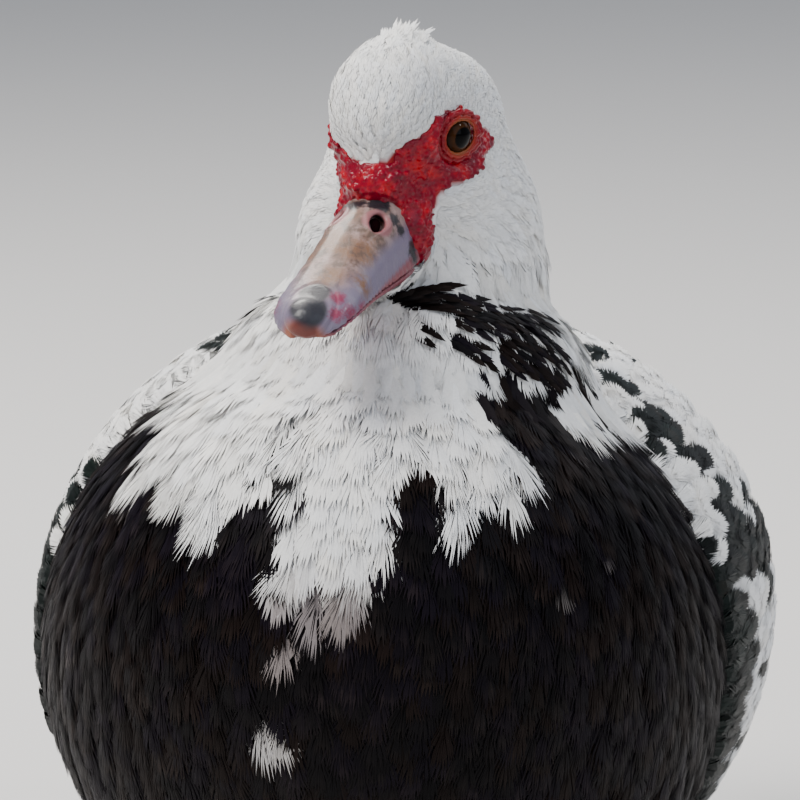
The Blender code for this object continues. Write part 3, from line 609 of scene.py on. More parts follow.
def red_skin():
    material, shader = plain("red caruncled skin", (0.55, 0.02, 0.03), 0.30)
    tree, shader, node = links(material)
    place = node("ShaderNodeTexCoord")
    patches = node("ShaderNodeTexNoise", Scale=140.0, Detail=5.0, Roughness=0.6)
    ramp = node("ShaderNodeValToRGB")
    ramp.color_ramp.elements[0].position = 0.30
    ramp.color_ramp.elements[0].color = (0.085, 0.0, 0.009, 1)
    ramp.color_ramp.elements[1].position = 0.72
    ramp.color_ramp.elements[1].color = (0.50, 0.002, 0.004, 1)
    middle = ramp.color_ramp.elements.new(0.5)
    middle.color = (0.21, 0.0, 0.013, 1)
    pores = node("ShaderNodeTexVoronoi", Scale=1500.0)
    bump = node("ShaderNodeBump", Strength=0.35, Distance=0.00025)
    tree.links.new(place.outputs["Object"], patches.inputs["Vector"])
    tree.links.new(place.outputs["Object"], pores.inputs["Vector"])
    tree.links.new(patches.outputs["Fac"], ramp.inputs["Fac"])
    tree.links.new(ramp.outputs["Color"], shader.inputs["Base Color"])
    tree.links.new(pores.outputs["Distance"], bump.inputs["Height"])
    tree.links.new(bump.outputs["Normal"], shader.inputs["Normal"])
    shader.inputs["Specular IOR Level"].default_value = 0.15
    shader.inputs["Coat Weight"].default_value = 0.18
    shader.inputs["Coat Roughness"].default_value = 0.10
    return material


face.data.materials.clear()
face.data.materials.append(red_skin())
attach(face, "root")

# Each eye is a wet dark brown ball with a black pupil. Two soft folds of bare
# skin, the lids, ring the part of it that shows.
LIDS = (
    # distance out from the eye's middle, ring's radius, thickness, in mm
    ("rim", 4.6, 5.25, 0.42),
    ("fold", 4.5, 6.05, 0.8),
    ("outer fold", 3.9, 7.3, 1.05),
)


def eye_material(side, middle):
    material, shader = plain(f"eye {side}", (0.03, 0.012, 0.006), 0.04)
    tree, shader, node = links(material)
    place = node("ShaderNodeTexCoord")
    centred = node("ShaderNodeMapping", vector_type="TEXTURE")
    centred.inputs["Location"].default_value = middle
    out = gaze(1 if side == "left" else -1)
    centred.inputs["Rotation"].default_value = out.to_track_quat("Z", "Y").to_euler()
    apart = node("ShaderNodeVectorMath", operation="LENGTH")
    flat = node("ShaderNodeVectorMath", operation="MULTIPLY")
    flat.inputs[1].default_value = (1, 1, 0)
    ramp = node("ShaderNodeValToRGB")
    scale = node("ShaderNodeMath", operation="MULTIPLY")
    scale.inputs[1].default_value = 1 / (EYE_RADIUS * MM)
    ramp.color_ramp.interpolation = "EASE"
    ramp.color_ramp.elements[0].position = 0.44
    ramp.color_ramp.elements[0].color = (0.001, 0.001, 0.001, 1)
    ramp.color_ramp.elements[1].position = 0.52
    ramp.color_ramp.elements[1].color = (0.040, 0.014, 0.004, 1)
    rim = ramp.color_ramp.elements.new(0.80)
    rim.color = (0.012, 0.005, 0.002, 1)
    tree.links.new(place.outputs["Object"], centred.inputs["Vector"])
    tree.links.new(centred.outputs["Vector"], flat.inputs[0])
    tree.links.new(flat.outputs["Vector"], apart.inputs[0])
    tree.links.new(apart.outputs["Value"], scale.inputs[0])
    tree.links.new(scale.outputs["Value"], ramp.inputs["Fac"])
    tree.links.new(ramp.outputs["Color"], shader.inputs["Base Color"])
    shader.inputs["Specular IOR Level"].default_value = 0.0
    shader.inputs["Coat Weight"].default_value = 1.0
    shader.inputs["Coat IOR"].default_value = 1.15
    shader.inputs["Coat Roughness"].default_value = 0.03
    return material


for side, word in ((1, "left"), (-1, "right")):
    middle = middle_of(f"eye_{word}")
    bpy.ops.mesh.primitive_uv_sphere_add(
        segments=48, ring_count=32, radius=EYE_RADIUS * MM, location=middle
    )
    eye = settled(bpy.context.object)
    eye.name = f"eyeball_{word}"
    bpy.ops.object.shade_smooth()
    eye.data.materials.append(eye_material(word, middle))
    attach(eye, "root")
    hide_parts(f"eye_{word}")
    rings = []
    upright = gaze(side).to_track_quat("Z", "Y").to_matrix().to_4x4()
    for name, out, ring, thick in LIDS:
        bpy.ops.mesh.primitive_torus_add(
            major_radius=ring * MM, minor_radius=thick * MM,
            major_segments=72, minor_segments=16, location=(0, 0, 0),
        )
        lid = bpy.context.object
        spot = Matrix.Translation(middle + gaze(side) * out * MM) @ upright
        lid.data.transform(spot @ Matrix.Diagonal((1.2, 0.99, 1, 1)))
        rings.append(lid)
    lids = joined(f"lids_{word}", rings)
    wrinkles = coordinates(lids)
    around = in_head(wrinkles)
    turn = np.arctan2(around[:, 2], around[:, 1])
    apart = from_gaze(wrinkles, side)
    coarse = smooth_step(apart, 5.8, 7.5)
    ripple = (0.05 + 0.2 * coarse) * np.sin(turn * 31) + (0.04 + 0.28 * coarse) * np.sin(turn * 19 + 1)
    lids.data.vertices.foreach_set(
        "co", (wrinkles + normals(lids) * ripple[:, None] * MM).ravel()
    )
    lids.data.update()
    bpy.ops.object.shade_smooth()
    rim_tint = np.array((0.24, 0.055, 0.014))
    fold_tint = np.array((0.26, 0.016, 0.008))
    outer_tint = np.array((0.21, 0.001, 0.009))
    share = smooth_step(apart, 5.4, 6.0)[:, None]
    outer = smooth_step(apart, 6.2, 7.4)[:, None]
    paint(lids, (rim_tint * (1 - share) + fold_tint * share) * (1 - outer) + outer_tint * outer)
    lid_skin = plumage(f"lid skin {word}", 0.30, 0.0, (1, 1, 1), 700, 0.25)
    lids.data.materials.clear()
    lids.data.materials.append(lid_skin)
    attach(lids, "root")

# The bill is horn over bone: pinkish white with ochre mottling, black blotches
# near its base, a magenta cutting edge and a hooked dark nail at its tip.


NOSTRIL_AT, NOSTRIL_HALF = (6.9, -30.8, -14.2), (4.9, 2.5)
NAIL_AT, NAIL_HALF = (1.2, -70.8, -23.2), (6.9, 9.2, 6.9)
# Each patch: place in the head's frame, radii where it begins and ends to fade, in mm.
DARK_BLOTS = (
    (5.3, -23.8, -10.6, 2.8, 4.4), (3.4, -24.6, -10.4, 1.6, 3.4), (9.9, -24.6, -15.6, 1.5, 3.2),
    (9.9, -24.6, -19.8, 1.2, 3.0), (-3.2, -26.6, -11.6, 1.6, 3.6), (-0.6, -25.6, -10.8, 0.8, 2.8),
    (12.6, -21.6, -27.0, 1.8, 3.8), (12.2, -21.4, -30.2, 1.2, 3.2), (-8, -25.5, -14, 1.4, 3.4),
    (-12, -24, -24, 1.4, 3.8),
)
OCHRE_PATCHES = (
    (-4.2, -42, -14.4, 2, 8), (3, -46, -15, 2, 8), (8.1, -44.4, -17.2, 1.5, 6), (6, -37, -18, 1, 6),
    (-3, -32, -12, 2, 8), (2, -58, -18, 1, 8), (-8, -46, -20, 3, 11), (10, -54, -23, 1, 6),
)
PINK_PATCHES = (
    (8.0, -65.5, -21.4, 0.8, 3.6), (9.4, -70.5, -24.0, 0.6, 3.4), (10.6, -66, -26.6, 1.5, 4.6),
    (12.2, -60, -28, 1.0, 4.0), (-9.5, -68, -26, 1, 4.5),
)


def bill_material(name, low_tint):
    material, shader = plain(name, (0.7, 0.5, 0.45), 0.40)
    tree, shader, node = links(material)
    place = node("ShaderNodeTexCoord")
    own = node("ShaderNodeMapping", vector_type="TEXTURE")
    own.inputs["Location"].default_value = head_place.translation
    own.inputs["Rotation"].default_value = head_place.to_euler()
    own.inputs["Scale"].default_value = (MM, MM, MM)
    parts = node("ShaderNodeSeparateXYZ")
    tree.links.new(place.outputs["Object"], own.inputs["Vector"])
    tree.links.new(own.outputs["Vector"], parts.inputs["Vector"])

    def spread(value, low, high):
        band = node("ShaderNodeMapRange", interpolation_type="SMOOTHSTEP")
        band.inputs["From Min"].default_value = low
        band.inputs["From Max"].default_value = high
        tree.links.new(value, band.inputs["Value"])
        return band.outputs["Result"]

    def times(a, b):
        product = node("ShaderNodeMath", operation="MULTIPLY")
        tree.links.new(a, product.inputs[0])
        tree.links.new(b, product.inputs[1])
        return product.outputs["Value"]

    def over(base, tint, mask):
        mixer = node("ShaderNodeMix", data_type="RGBA")
        tree.links.new(mask, mixer.inputs["Factor"])
        tree.links.new(base, mixer.inputs[6])
        mixer.inputs[7].default_value = (*tint, 1)
        return mixer.outputs[2]

    def blot(x, y, z, inner, outer, even=False):
        off = node("ShaderNodeVectorMath", operation="DISTANCE")
        off.inputs[1].default_value = (x, y, z)
        tree.links.new(own.outputs["Vector"], off.inputs[0])
        wavy = node("ShaderNodeMath", operation="ADD")
        wavy.inputs[1].default_value = 0
        tree.links.new(off.outputs["Value"], wavy.inputs[0])
        if not even:
            tree.links.new(ragged.outputs["Value"], wavy.inputs[1])
        return spread(wavy.outputs["Value"], outer, inner)

    mottle = node("ShaderNodeTexNoise", Scale=0.26, Detail=6.0, Roughness=0.62)
    fine = node("ShaderNodeTexNoise", Scale=1.1, Detail=5.0, Roughness=0.7)
    tree.links.new(own.outputs["Vector"], mottle.inputs["Vector"])
    tree.links.new(own.outputs["Vector"], fine.inputs["Vector"])
    ragged = node("ShaderNodeMath", operation="MULTIPLY_ADD")
    ragged.inputs[1].default_value = 5.0
    ragged.inputs[2].default_value = -2.5
    tree.links.new(fine.outputs["Fac"], ragged.inputs[0])
    base = node("ShaderNodeValToRGB")
    base.color_ramp.elements[0].position = 0.41
    base.color_ramp.elements[0].color = (0.105, 0.064, 0.048, 1)
    base.color_ramp.elements[1].position = 0.58
    base.color_ramp.elements[1].color = (0.30, 0.205, 0.19, 1)
    tree.links.new(mottle.outputs["Fac"], base.inputs["Fac"])
    colour = base.outputs["Color"]
    lilac_side = spread(parts.outputs["Z"], -17.5, -22.0)
    colour = over(colour, (0.165, 0.135, 0.195), lilac_side)
    patchy = spread(mottle.outputs["Fac"], 0.36, 0.56)
    for x, y, z, inner, outer in OCHRE_PATCHES:
        colour = over(colour, (0.17, 0.078, 0.036), times(patchy, blot(x, y, z, inner, outer)))
    edge = spread(parts.outputs["Z"], -27.4, -29.8)
    colour = over(colour, low_tint, edge)
    for x, y, z, inner, outer in PINK_PATCHES:
        colour = over(colour, (0.20, 0.020, 0.058), blot(x, y, z, inner, outer))
    for x, y, z, inner, outer in DARK_BLOTS:
        colour = over(colour, (0.012, 0.011, 0.015), blot(x, y, z, inner, outer))
    for side in (1, -1):
        at = (side * NOSTRIL_AT[0], NOSTRIL_AT[1], NOSTRIL_AT[2])
        colour = over(colour, (0.27, 0.105, 0.11), blot(*at, 4.2, 5.6, True))
        # Near-black painted shade in each nostril's pit, where the hole lies in shadow.
        for back in (-2.6, -0.4, 1.8):
            shaded_pit = (at[0] - side * 1.5, at[1] + 0.3 + back, at[2] - 1.4 + 0.21 * back)
            colour = over(colour, (0.006, 0.001, 0.002), blot(*shaded_pit, 2.5 - 0.2 * back, 3.1 - 0.22 * back, True))
    colour = over(colour, (0.28, 0.085, 0.045), blot(0.5, -77, -29.5, 4.5, 8.5, True))
    colour = over(colour, (0.13, 0.022, 0.014), blot(1.6, -77.5, -26.8, 3.2, 5.2, True))
    for spot in ((1.2, -66.4, -20.4, 4.0, 5.6), (1.7, -72.6, -23.0, 5.0, 6.8)):
        colour = over(colour, (0.016, 0.016, 0.023), blot(*spot, True))
    tree.links.new(colour, shader.inputs["Base Color"])
    bump = node("ShaderNodeBump", Strength=0.45, Distance=0.0005)
    tree.links.new(fine.outputs["Fac"], bump.inputs["Height"])
    tree.links.new(bump.outputs["Normal"], shader.inputs["Normal"])
    shader.inputs["Specular IOR Level"].default_value = 0.3
    shader.inputs["Subsurface Weight"].default_value = 0.05
    shader.inputs["Subsurface Scale"].default_value = 0.001
    shader.inputs["Coat Weight"].default_value = 0.25
    shader.inputs["Coat Roughness"].default_value = 0.20
    return material


NOSTRIL_ALONG = np.array((0, 0.978, 0.208))


def nostril_sink(places):
    """How far the horn lies sunk in the nostrils, and raised round them, in mm."""
    sink = np.zeros(len(places))
    along = NOSTRIL_ALONG
    for side in (1, -1):
        outward = np.array((side * 0.74, -0.14, 0.66))
        off = places - np.array((side * NOSTRIL_AT[0], NOSTRIL_AT[1], NOSTRIL_AT[2]))
        rear = off @ along
        low = off @ np.cross(outward, along)
        narrow = 1 - 0.32 * np.clip(-rear / NOSTRIL_HALF[0], -0.3, 1)
        ring = np.hypot(rear / NOSTRIL_HALF[0], low / (NOSTRIL_HALF[1] * narrow))
        here = np.abs(off @ outward) < 4
        sink += here * (0.4 * np.exp(-((ring - 1.3) / 0.3) ** 2) - 3.4 * smooth_step(-ring, -1.0, -0.5))
    return sink


for node_name, voxel, rounds in (("bill_upper", 0.48, 50), ("bill_lower", 0.6, 12)):
    horn = fused(copy_of(node_name), voxel * MM, rounds)
    horn.name = node_name + "_horn"
    bpy.ops.object.shade_smooth()
    places = in_head(coordinates(horn))
    ridges = 0.10 * np.sin(places[:, 1] * 1.05) * smooth_step(places[:, 2], -30, -26)
    side_share = smooth_step(np.abs(places[:, 0]), 6, 11)
    teeth = 0.25 * np.sin(places[:, 1] * 2.6) * np.exp(-((places[:, 2] + 29) / 2.2) ** 2)
    nail_ring = np.linalg.norm((places - np.array(NAIL_AT)) / np.array(NAIL_HALF), axis=1)
    nail = 0.45 * smooth_step(-nail_ring, -1.12, -1.0) - 0.3 * np.exp(-((nail_ring - 1.16) / 0.06) ** 2)
    push = (ridges + teeth) * side_share + nostril_sink(places) + nail
    horn.data.vertices.foreach_set(
        "co", (coordinates(horn) + normals(horn) * push[:, None] * MM).ravel()
    )
    horn.data.update()
    horn.data.materials.append(bill_material(node_name + " horn", (0.20, 0.055, 0.07)))
    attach(horn, "root")
    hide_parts(node_name)

# A near-black matte plug deep in each nostril: painted shade for the dark inside of the hole.
shade_plugs = []
for side in (1, -1):
    outward = Vector((side * 0.74, -0.14, 0.66)).normalized()
    along = (Vector(NOSTRIL_ALONG) - outward * outward.dot(Vector(NOSTRIL_ALONG))).normalized()
    turned = Matrix((outward, along, outward.cross(along))).transposed().to_4x4()
    centre = Vector((side * NOSTRIL_AT[0], *NOSTRIL_AT[1:])) - outward * 3.1
    shade_plugs.append(ball((0, 0, 0), (1.3, 4.0, 2.1), head_place @ Matrix.Translation(centre * MM) @ turned))
shade_plug = joined("nostril_shade_plugs", shade_plugs)
bpy.ops.object.shade_smooth()
matte, shader = plain("nostril lining", (0.008, 0.001, 0.002), 0.95)
shader.inputs["Specular IOR Level"].default_value = 0.02
shade_plug.data.materials.append(matte)
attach(shade_plug, "root")

# Small feathers. Each is a shaft with barbs on both sides, every barb a thin
# closed splinter, so that its edge is soft and splits as real vanes do. Roots
# are spread over the skin, and each feather follows the lie of the plumage.
STEPS = 5
BILL_ROOT = np.array(head_place @ Vector((0, -18 * MM, -14 * MM)))
NECK_ROOT = np.array((0.010, -0.145, 0.300))


def lie(point, normal):
    """The way that plumage points at a place: back from the bill, then down."""
    point, normal = np.array(point), np.array(normal)
    on_head = float(smooth_step(point[2], 0.275, 0.300))
    off_bill = point - BILL_ROOT
    off_bill /= np.linalg.norm(off_bill) + 1e-9
    behind = float(smooth_step(point[1] - BILL_ROOT[1], 0.025, 0.075))
    from_head = off_bill + np.array((0, 0, -1.1 * behind - 0.15))
    off_neck = point - NECK_ROOT
    off_neck /= np.linalg.norm(off_neck) + 1e-9
    rearward = float(smooth_step(point[1], -0.20, 0.05))
    from_neck = off_neck * (1 - 0.6 * rearward) + np.array((0, 0.9 * rearward + 0.1, -0.25))
    way = from_head * on_head + from_neck * (1 - on_head)
    way -= normal * way.dot(normal)
    return way / (np.linalg.norm(way) + 1e-9)


def unrolled(points):
    """The skin laid flat: from the crown outwards on head and neck, and from
    the breast outwards on the trunk, each without a fold."""
    high = points[:, 2] > 0.272
    crown = np.array(head_place @ Vector((0, 8 * MM, 0)))
    off = points - crown
    tilt = np.arctan2(np.hypot(off[:, 0], off[:, 1]), off[:, 2])
    run = np.where(off[:, 2] > 0, tilt * 0.03, math.pi / 2 * 0.03 - off[:, 2])
    turn = np.arctan2(off[:, 1], off[:, 0])
    head_map = 0.5 + 3.6 * run[:, None] * np.stack((np.cos(turn), np.sin(turn)), axis=1)
    off = points - np.array((0, TRUNK_MIDDLE_Y, 0.155))
    off = off / (np.linalg.norm(off, axis=1)[:, None] + 1e-9)
    tilt = np.arccos(np.clip(-off[:, 1], -1, 1)) / math.pi
    turn = np.arctan2(off[:, 2], off[:, 0])
    trunk_map = 0.5 + 0.48 * tilt[:, None] * np.stack((np.cos(turn), np.sin(turn)), axis=1)
    return np.where(high[:, None], head_map, trunk_map)


def paths(roots, lengths, turns):
    """Walks each feather's shaft over the skin, from its root to its tip."""
    places = np.empty((len(roots), STEPS, 3))
    ups = np.empty_like(places)
    for i, root in enumerate(roots):
        place, normal = on_skin(root)
        step = lengths[i] / (STEPS - 1)
        swing = Matrix.Rotation(turns[i], 3, normal)
        for k in range(STEPS):
            places[i, k], ups[i, k] = place, normal
            if k == STEPS - 1:
                break
            ahead = swing @ Vector(lie(place, normal))
            place, normal = on_skin(place + ahead * step)
            if normal is None:
                place, normal = Vector(places[i, k]), Vector(ups[i, k])
    return places, ups


def splinter_mesh(name, corners, colours, patches, facing):
    """One mesh of many closed splinters: root, left, right and tip of each."""
    count = len(corners)
    pattern = np.array(((0, 3, 1), (0, 2, 3), (0, 1, 2), (3, 2, 1)), np.int32)
    faces = (4 * np.arange(count, dtype=np.int32)[:, None, None] + pattern).ravel()
    mesh = bpy.data.meshes.new(name)
    mesh.vertices.add(4 * count)
    mesh.vertices.foreach_set("co", corners.astype(np.float32).ravel())
    mesh.loops.add(len(faces))
    mesh.loops.foreach_set("vertex_index", faces)
    mesh.polygons.add(4 * count)
    mesh.polygons.foreach_set("loop_start", np.arange(0, len(faces), 3, dtype=np.int32))
    mesh.update(calc_edges=True)
    layer = mesh.uv_layers.new(name="OFBake")
    layer.data.foreach_set("uv", patches.reshape(-1, 2)[faces].astype(np.float32).ravel())
    mesh.polygons.foreach_set("use_smooth", np.ones(4 * count, bool))
    corner_facing = facing.reshape(-1, 3)[faces].reshape(-1, 12, 3)
    corner_facing[:, 6:] *= -1
    mesh.normals_split_custom_set(corner_facing.reshape(-1, 3))
    obj = bpy.data.objects.new(name, mesh)
    bpy.context.scene.collection.objects.link(obj)
    paint(obj, colours.reshape(-1, 3))
    return obj


# Broad blades that close each vane under its barbs: place of the tip across
# and along, and half width, as shares of the feather's width and length.
WEBS = ((0.0, 0.90, 0.30), (-0.30, 0.72, 0.20), (0.30, 0.72, 0.20))


def coat(
    name, roots, length, width, barbs, lift, seed, tint, material,
    rough=0.5, stand=0.0, fine_share=0.46, walk=paths, spots=None,
):
    """Feathers on all the roots. Length, width and lift are in metres for each."""
    lift = lift * np.ones(len(roots))
    draw = np.random.default_rng(seed)
    n, m = len(roots), 2 * barbs + 1 + len(WEBS)
    length = length * draw.uniform(1 - 0.2 * rough, 1 + 0.2 * rough, n)
    width = width * draw.uniform(0.9, 1.1, n)
    places, ups = walk(roots, length, draw.normal(0, 0.06 + 0.12 * rough, n))
    ahead = np.gradient(places, axis=1)
    ahead /= np.linalg.norm(ahead, axis=2)[:, :, None] + 1e-12
    across = np.cross(ahead, ups)
    across /= np.linalg.norm(across, axis=2)[:, :, None] + 1e-12
    fine = m - len(WEBS)
    order = np.concatenate((np.linspace(-1, 1, fine), [2 * web[0] for web in WEBS]))[None, :]
    side, reach = np.sign(order), np.abs(order)
    turn = reach * math.radians(112)
    tip_along = 0.46 + 0.54 * np.cos(turn) + draw.normal(0, 0.010 + 0.035 * rough, (n, m))
    tip_across = 0.5 * np.sin(turn) * side + draw.normal(0, 0.008 + 0.02 * rough, (n, m))
    clump = draw.normal(0, 0.02 * rough, (n, (m + 2) // 3)).repeat(3, axis=1)[:, :m]
    tip_across = tip_across + clump
    half = (0.5 * width[:, None] + 0.8 * length[:, None]) / fine * fine_share * np.ones((n, m))
    for k, (aside, ahead_share, broad) in enumerate(WEBS):
        tip_along[:, fine + k] = ahead_share
        tip_across[:, fine + k] = aside
        half[:, fine + k] = broad * width
    is_web = (np.arange(m) >= fine)[None, :]
    root_along = np.clip(tip_along - 0.36 - 0.18 * reach, 0.03, 0.9)
    root_along = np.where(is_web, 0.04, root_along)
    root_across = 0.02 * side * np.ones((n, 1))
    twist = draw.normal(0, 0.06, (n, m)) * ~is_web

    def spot(along, aside, raised):
        """A point of each feather, from shares along it and across it."""
        at = np.clip(along, 0, 1.12) * (STEPS - 1)
        low = np.clip(np.floor(at).astype(int), 0, STEPS - 2)
        part = (at - low)[:, :, None]
        row = np.arange(n)[:, None]

        def blended(values):
            return values[row, low] * (1 - part) + values[row, low + 1] * part

        aside = aside * width[:, None]
        high = lift[:, None] * (0.08 + 0.92 * np.clip(along, 0, 1.1) ** 0.8) + raised
        high = high + (stand * length)[:, None] * np.clip(along, 0, 1.2) ** 2
        high = high - aside**2 / (0.9 * width[:, None] + 0.02)
        return (
            blended(places) + blended(across) * aside[:, :, None] + blended(ups) * high[:, :, None]
        )

    raise_by = draw.uniform(0, 0.15 * MM, (n, 1)) + 0.15 * MM * (1 - reach) - 0.2 * MM * is_web
    root = spot(root_along, root_across, raise_by)
    tip = spot(tip_along, tip_across, raise_by + draw.normal(0, 0.08 * MM, (n, m)))
    mid_along = root_along * 0.42 + tip_along * 0.58
    mid_across = root_across * 0.42 + tip_across * 0.58 + 0.05 * side * np.sin(turn) * ~is_web
    middle = spot(mid_along, mid_across, raise_by)
    shaft = tip - root
    shaft_long = np.linalg.norm(shaft, axis=2)[:, :, None] + 1e-12
    up = ups[:, 2][:, None, :]
    aside = np.cross(shaft / shaft_long, up)
    aside = aside / (np.linalg.norm(aside, axis=2)[:, :, None] + 1e-12)
    sink = up * (np.where(is_web, 0.10, 0.25) * half + 0.03 * MM)[:, :, None]
    tilt = up * (half * twist)[:, :, None]
    left = middle - aside * half[:, :, None] - sink + tilt
    right = middle + aside * half[:, :, None] - sink - tilt
    corners = np.stack((root, left, right, tip), axis=2)
    along_all = np.stack((root_along, mid_along, mid_along, tip_along), axis=2)
    colours = tint(draw, along_all, tip)
    base = (unrolled(roots) if spots is None else spots)[:, None, None, :]
    across_all = np.stack((root_across, mid_across - 0.03, mid_across + 0.03, tip_across), axis=2)
    patches = base + 0.0015 * np.stack((2 * across_all, 2 * along_all - 1), axis=3)
    out = up + 0.30 * (tip_along[:, :, None] - 0.45) * shaft / shaft_long
    facing = np.stack((out, out - 0.22 * aside, out + 0.22 * aside, out), axis=2)
    facing /= np.linalg.norm(facing, axis=3)[..., None]
    obj = splinter_mesh(
        name, corners.reshape(-1, 4, 3), colours.reshape(-1, 4, 3), patches.reshape(-1, 4, 2), facing
    )
    obj.data.materials.append(material)
    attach(obj, "root")
    return obj


def white_tint(draw, along, tips):
    """White barbs, a little warmer, cooler or greyer by the feather, dull low on the breast."""
    n, m = along.shape[:2]
    grey = draw.uniform(0.92, 1.0, (n, 1, 1, 1)) * draw.uniform(0.95, 1.0, (n, m, 1, 1))
    warm = draw.normal(0, 0.008, (n, 1, 1, 1)) * np.array((1, 0.2, -1.2))
    shade = 0.88 + 0.12 * np.clip(along, 0, 1)[..., None]
    colours = np.clip(WHITE * grey * shade + warm, 0, 0.95)
    flat = tips.reshape(-1, 3)
    high = as_seen(flat)[1]
    fade = smooth_step(-high, 52, 70) * np.where(high > -101, 1, 0.55)
    fade = fade * (flat[:, 1] < -0.115) * (flat[:, 2] < 0.21)
    dull = 1 - fade[:, None] * np.array((0.74, 0.775, 0.775))
    return colours * dull.reshape(n, m, 1, 3)


def is_high(points):
    return in_head(points)[:, 2] > -40


def low_on_neck(points):
    return smooth_step(0.318 - points[:, 2], 0, 0.03)


def head_gap(points):
    near_face = smooth_step(-bare(points), 0, 14)
    return (1.1 + 0.5 * near_face + 0.9 * low_on_neck(points)) * MM


def head_or_neck(points):
    place = in_head(points)
    edge = np.where((place[:, 2] < -28) & (place[:, 1] < -8), -2.5, -0.2)
    open_face = (bare(points) > edge) & is_high(points)
    return (points[:, 2] > 0.284) & ~open_face


head_roots = scattered(skin, head_gap, 21, head_or_neck)
on_head = low_on_neck(head_roots) < 0.35
for name, chosen, barbs in (("head_feathers", on_head, 4), ("neck_feathers", ~on_head, 6)):
    roots = head_roots[chosen]
    near = smooth_step(-bare(roots), 0, 16)
    neck = low_on_neck(roots)
    place = in_head(roots)
    chin = smooth_step(-place[:, 1], 4, 12) * (place[:, 2] < -26)
    coat(
        name, roots, (4.6 + 3.0 * near + 6.0 * neck) * (1 - 0.45 * chin) * MM, (2.3 + 1.0 * near + 2.2 * neck) * MM,
        barbs, (0.6 + 0.4 * near + 1.0 * neck) * (1 - 0.5 * chin) * MM, 22 + barbs, white_tint, white_plumage,
        rough=0.45,
    )

# Ruffled locks stand up on the crown, the short crest that a duck of this kind raises.
CREST_MIDDLE, CREST_REACH = (0.5, 5), (15, 15)


def off_crest(points):
    place = in_head(points)
    across = (place[:, 0] - CREST_MIDDLE[0]) / CREST_REACH[0]
    back = (place[:, 1] - CREST_MIDDLE[1]) / CREST_REACH[1]
    return np.hypot(across, back) + 9 * (place[:, 2] < 10)


crest_roots = scattered(skin, lambda points: np.full(len(points), 1.8 * MM), 27, lambda points: off_crest(points) < 1)
coat(
    "crest_feathers", crest_roots, (8 + 3.5 * (1 - off_crest(crest_roots))) * MM, 4.4 * MM, 6, 1.4 * MM, 28,
    white_tint, white_plumage, rough=1.3,
    stand=0.03 + 0.42 * (1 - off_crest(crest_roots)) ** 0.8,
)

# The rest of the plumage on the trunk: long soft white feathers in the bib, and
# rounder black ones elsewhere, with brown edges on a few. None grow where the
# folded wings lie close against the body.


def under_wing(points):
    """Where the folded wing hides the body so deeply that nothing shows."""
    back = points[:, 1] - TRUNK_MIDDLE_Y
    tilt = np.degrees(np.arctan2(points[:, 2] - 0.155, np.abs(points[:, 0])))
    low = np.interp(back, (-0.04, 0, 0.1), (-12, -20, -14))
    high = np.interp(back, (-0.04, 0, 0.1), (45, 56, 66))
    return (back > -0.045) & (back < 0.115) & (tilt > low) & (tilt < high)


def body_gap(points):
    front = smooth_step(-points[:, 1], 0.05, 0.2)
    high = smooth_step(points[:, 2], 0.25, 0.275)
    legs = smooth_step(0.085 - points[:, 2], 0, 0.015) * (points[:, 1] > -0.12)
    return (6.6 - 2.2 * front - 1.2 * high - 2.6 * legs) * MM


def on_trunk(points):
    return (points[:, 2] <= 0.288) & ~under_wing(points)


body_roots = scattered(skin, body_gap, 31, on_trunk)


def black_tint(draw, along, tips):
    """Black barbs with a brown or purple cast, a few feathers with pale edges."""
    n, m = along.shape[:2]
    cast = np.array(((0.0055, 0.003, 0.0025), (0.0035, 0.0022, 0.0045), (0.0028, 0.0022, 0.0028)))
    base = cast[draw.integers(0, 3, n)][:, None, None, :] * draw.uniform(0.7, 1.4, (n, 1, 1, 1))
    edge = (np.clip(along, 0, 1)[..., None] > 0.85) * draw.uniform(0, 0.012, (n, 1, 1, 1))
    pale = (draw.random((n, 1, 1, 1)) < 0.006) * (along[..., None] > 0.9) * draw.uniform(0.02, 0.2, (n, m, 1, 1))
    return base + edge * np.array((0.9, 0.65, 0.55)) + pale * np.array((0.8, 0.72, 0.68))


def lengths(points):
    front = smooth_step(-points[:, 1], 0.05, 0.2)
    high = smooth_step(points[:, 2], 0.245, 0.285)
    legs = smooth_step(0.085 - points[:, 2], 0, 0.015) * (points[:, 1] > -0.12)
    return (27 + 1.0 * front - 12 * high - 14 * legs) * MM


def near_tips(roots):
    """Where the part of each feather lies that shows, a little before its tip."""
    return paths(roots, lengths(roots) * 1.06, np.zeros(len(roots)))[0][:, -1]


draw = np.random.default_rng(32)
count = len(body_roots)
ragged, lot = draw.normal(0, 1.2, count), draw.random(count)
body_white = white_share(near_tips(body_roots), ragged, lot)
past_tips = paths(body_roots, lengths(body_roots) * 1.55, np.zeros(count))[0][:, -1]
at_edge = body_white & ~white_share(past_tips, ragged, lot)
is_left, is_front = body_roots[:, 0] > 0, body_roots[:, 1] < -0.12
for name, chosen, is_white, barbs, fine_share in (
    ("white_fringe_feathers", at_edge, True, 30, 0.40),
    ("white_body_feathers", body_white & ~at_edge, True, 18, 0.62),
    ("black_breast_feathers_left", ~body_white & is_left & is_front, False, 16, 0.46),
    ("black_breast_feathers_right", ~body_white & ~is_left & is_front, False, 16, 0.46),
    ("black_body_feathers_left", ~body_white & is_left & ~is_front, False, 13, 0.5),
    ("black_body_feathers_right", ~body_white & ~is_left & ~is_front, False, 13, 0.5),
):
    roots = body_roots[chosen]
    long = lengths(roots) * (1.14 if is_white else 1.0)
    coat(
        name, roots, long, long * 0.58, barbs, (3.4 if is_white else 3.2) * MM, 40,
        white_tint if is_white else black_tint, white_plumage if is_white else black_plumage,
        rough=0.95 if chosen is at_edge else 0.4, stand=0.01 if is_white else 0.0,
        fine_share=fine_share,
    )

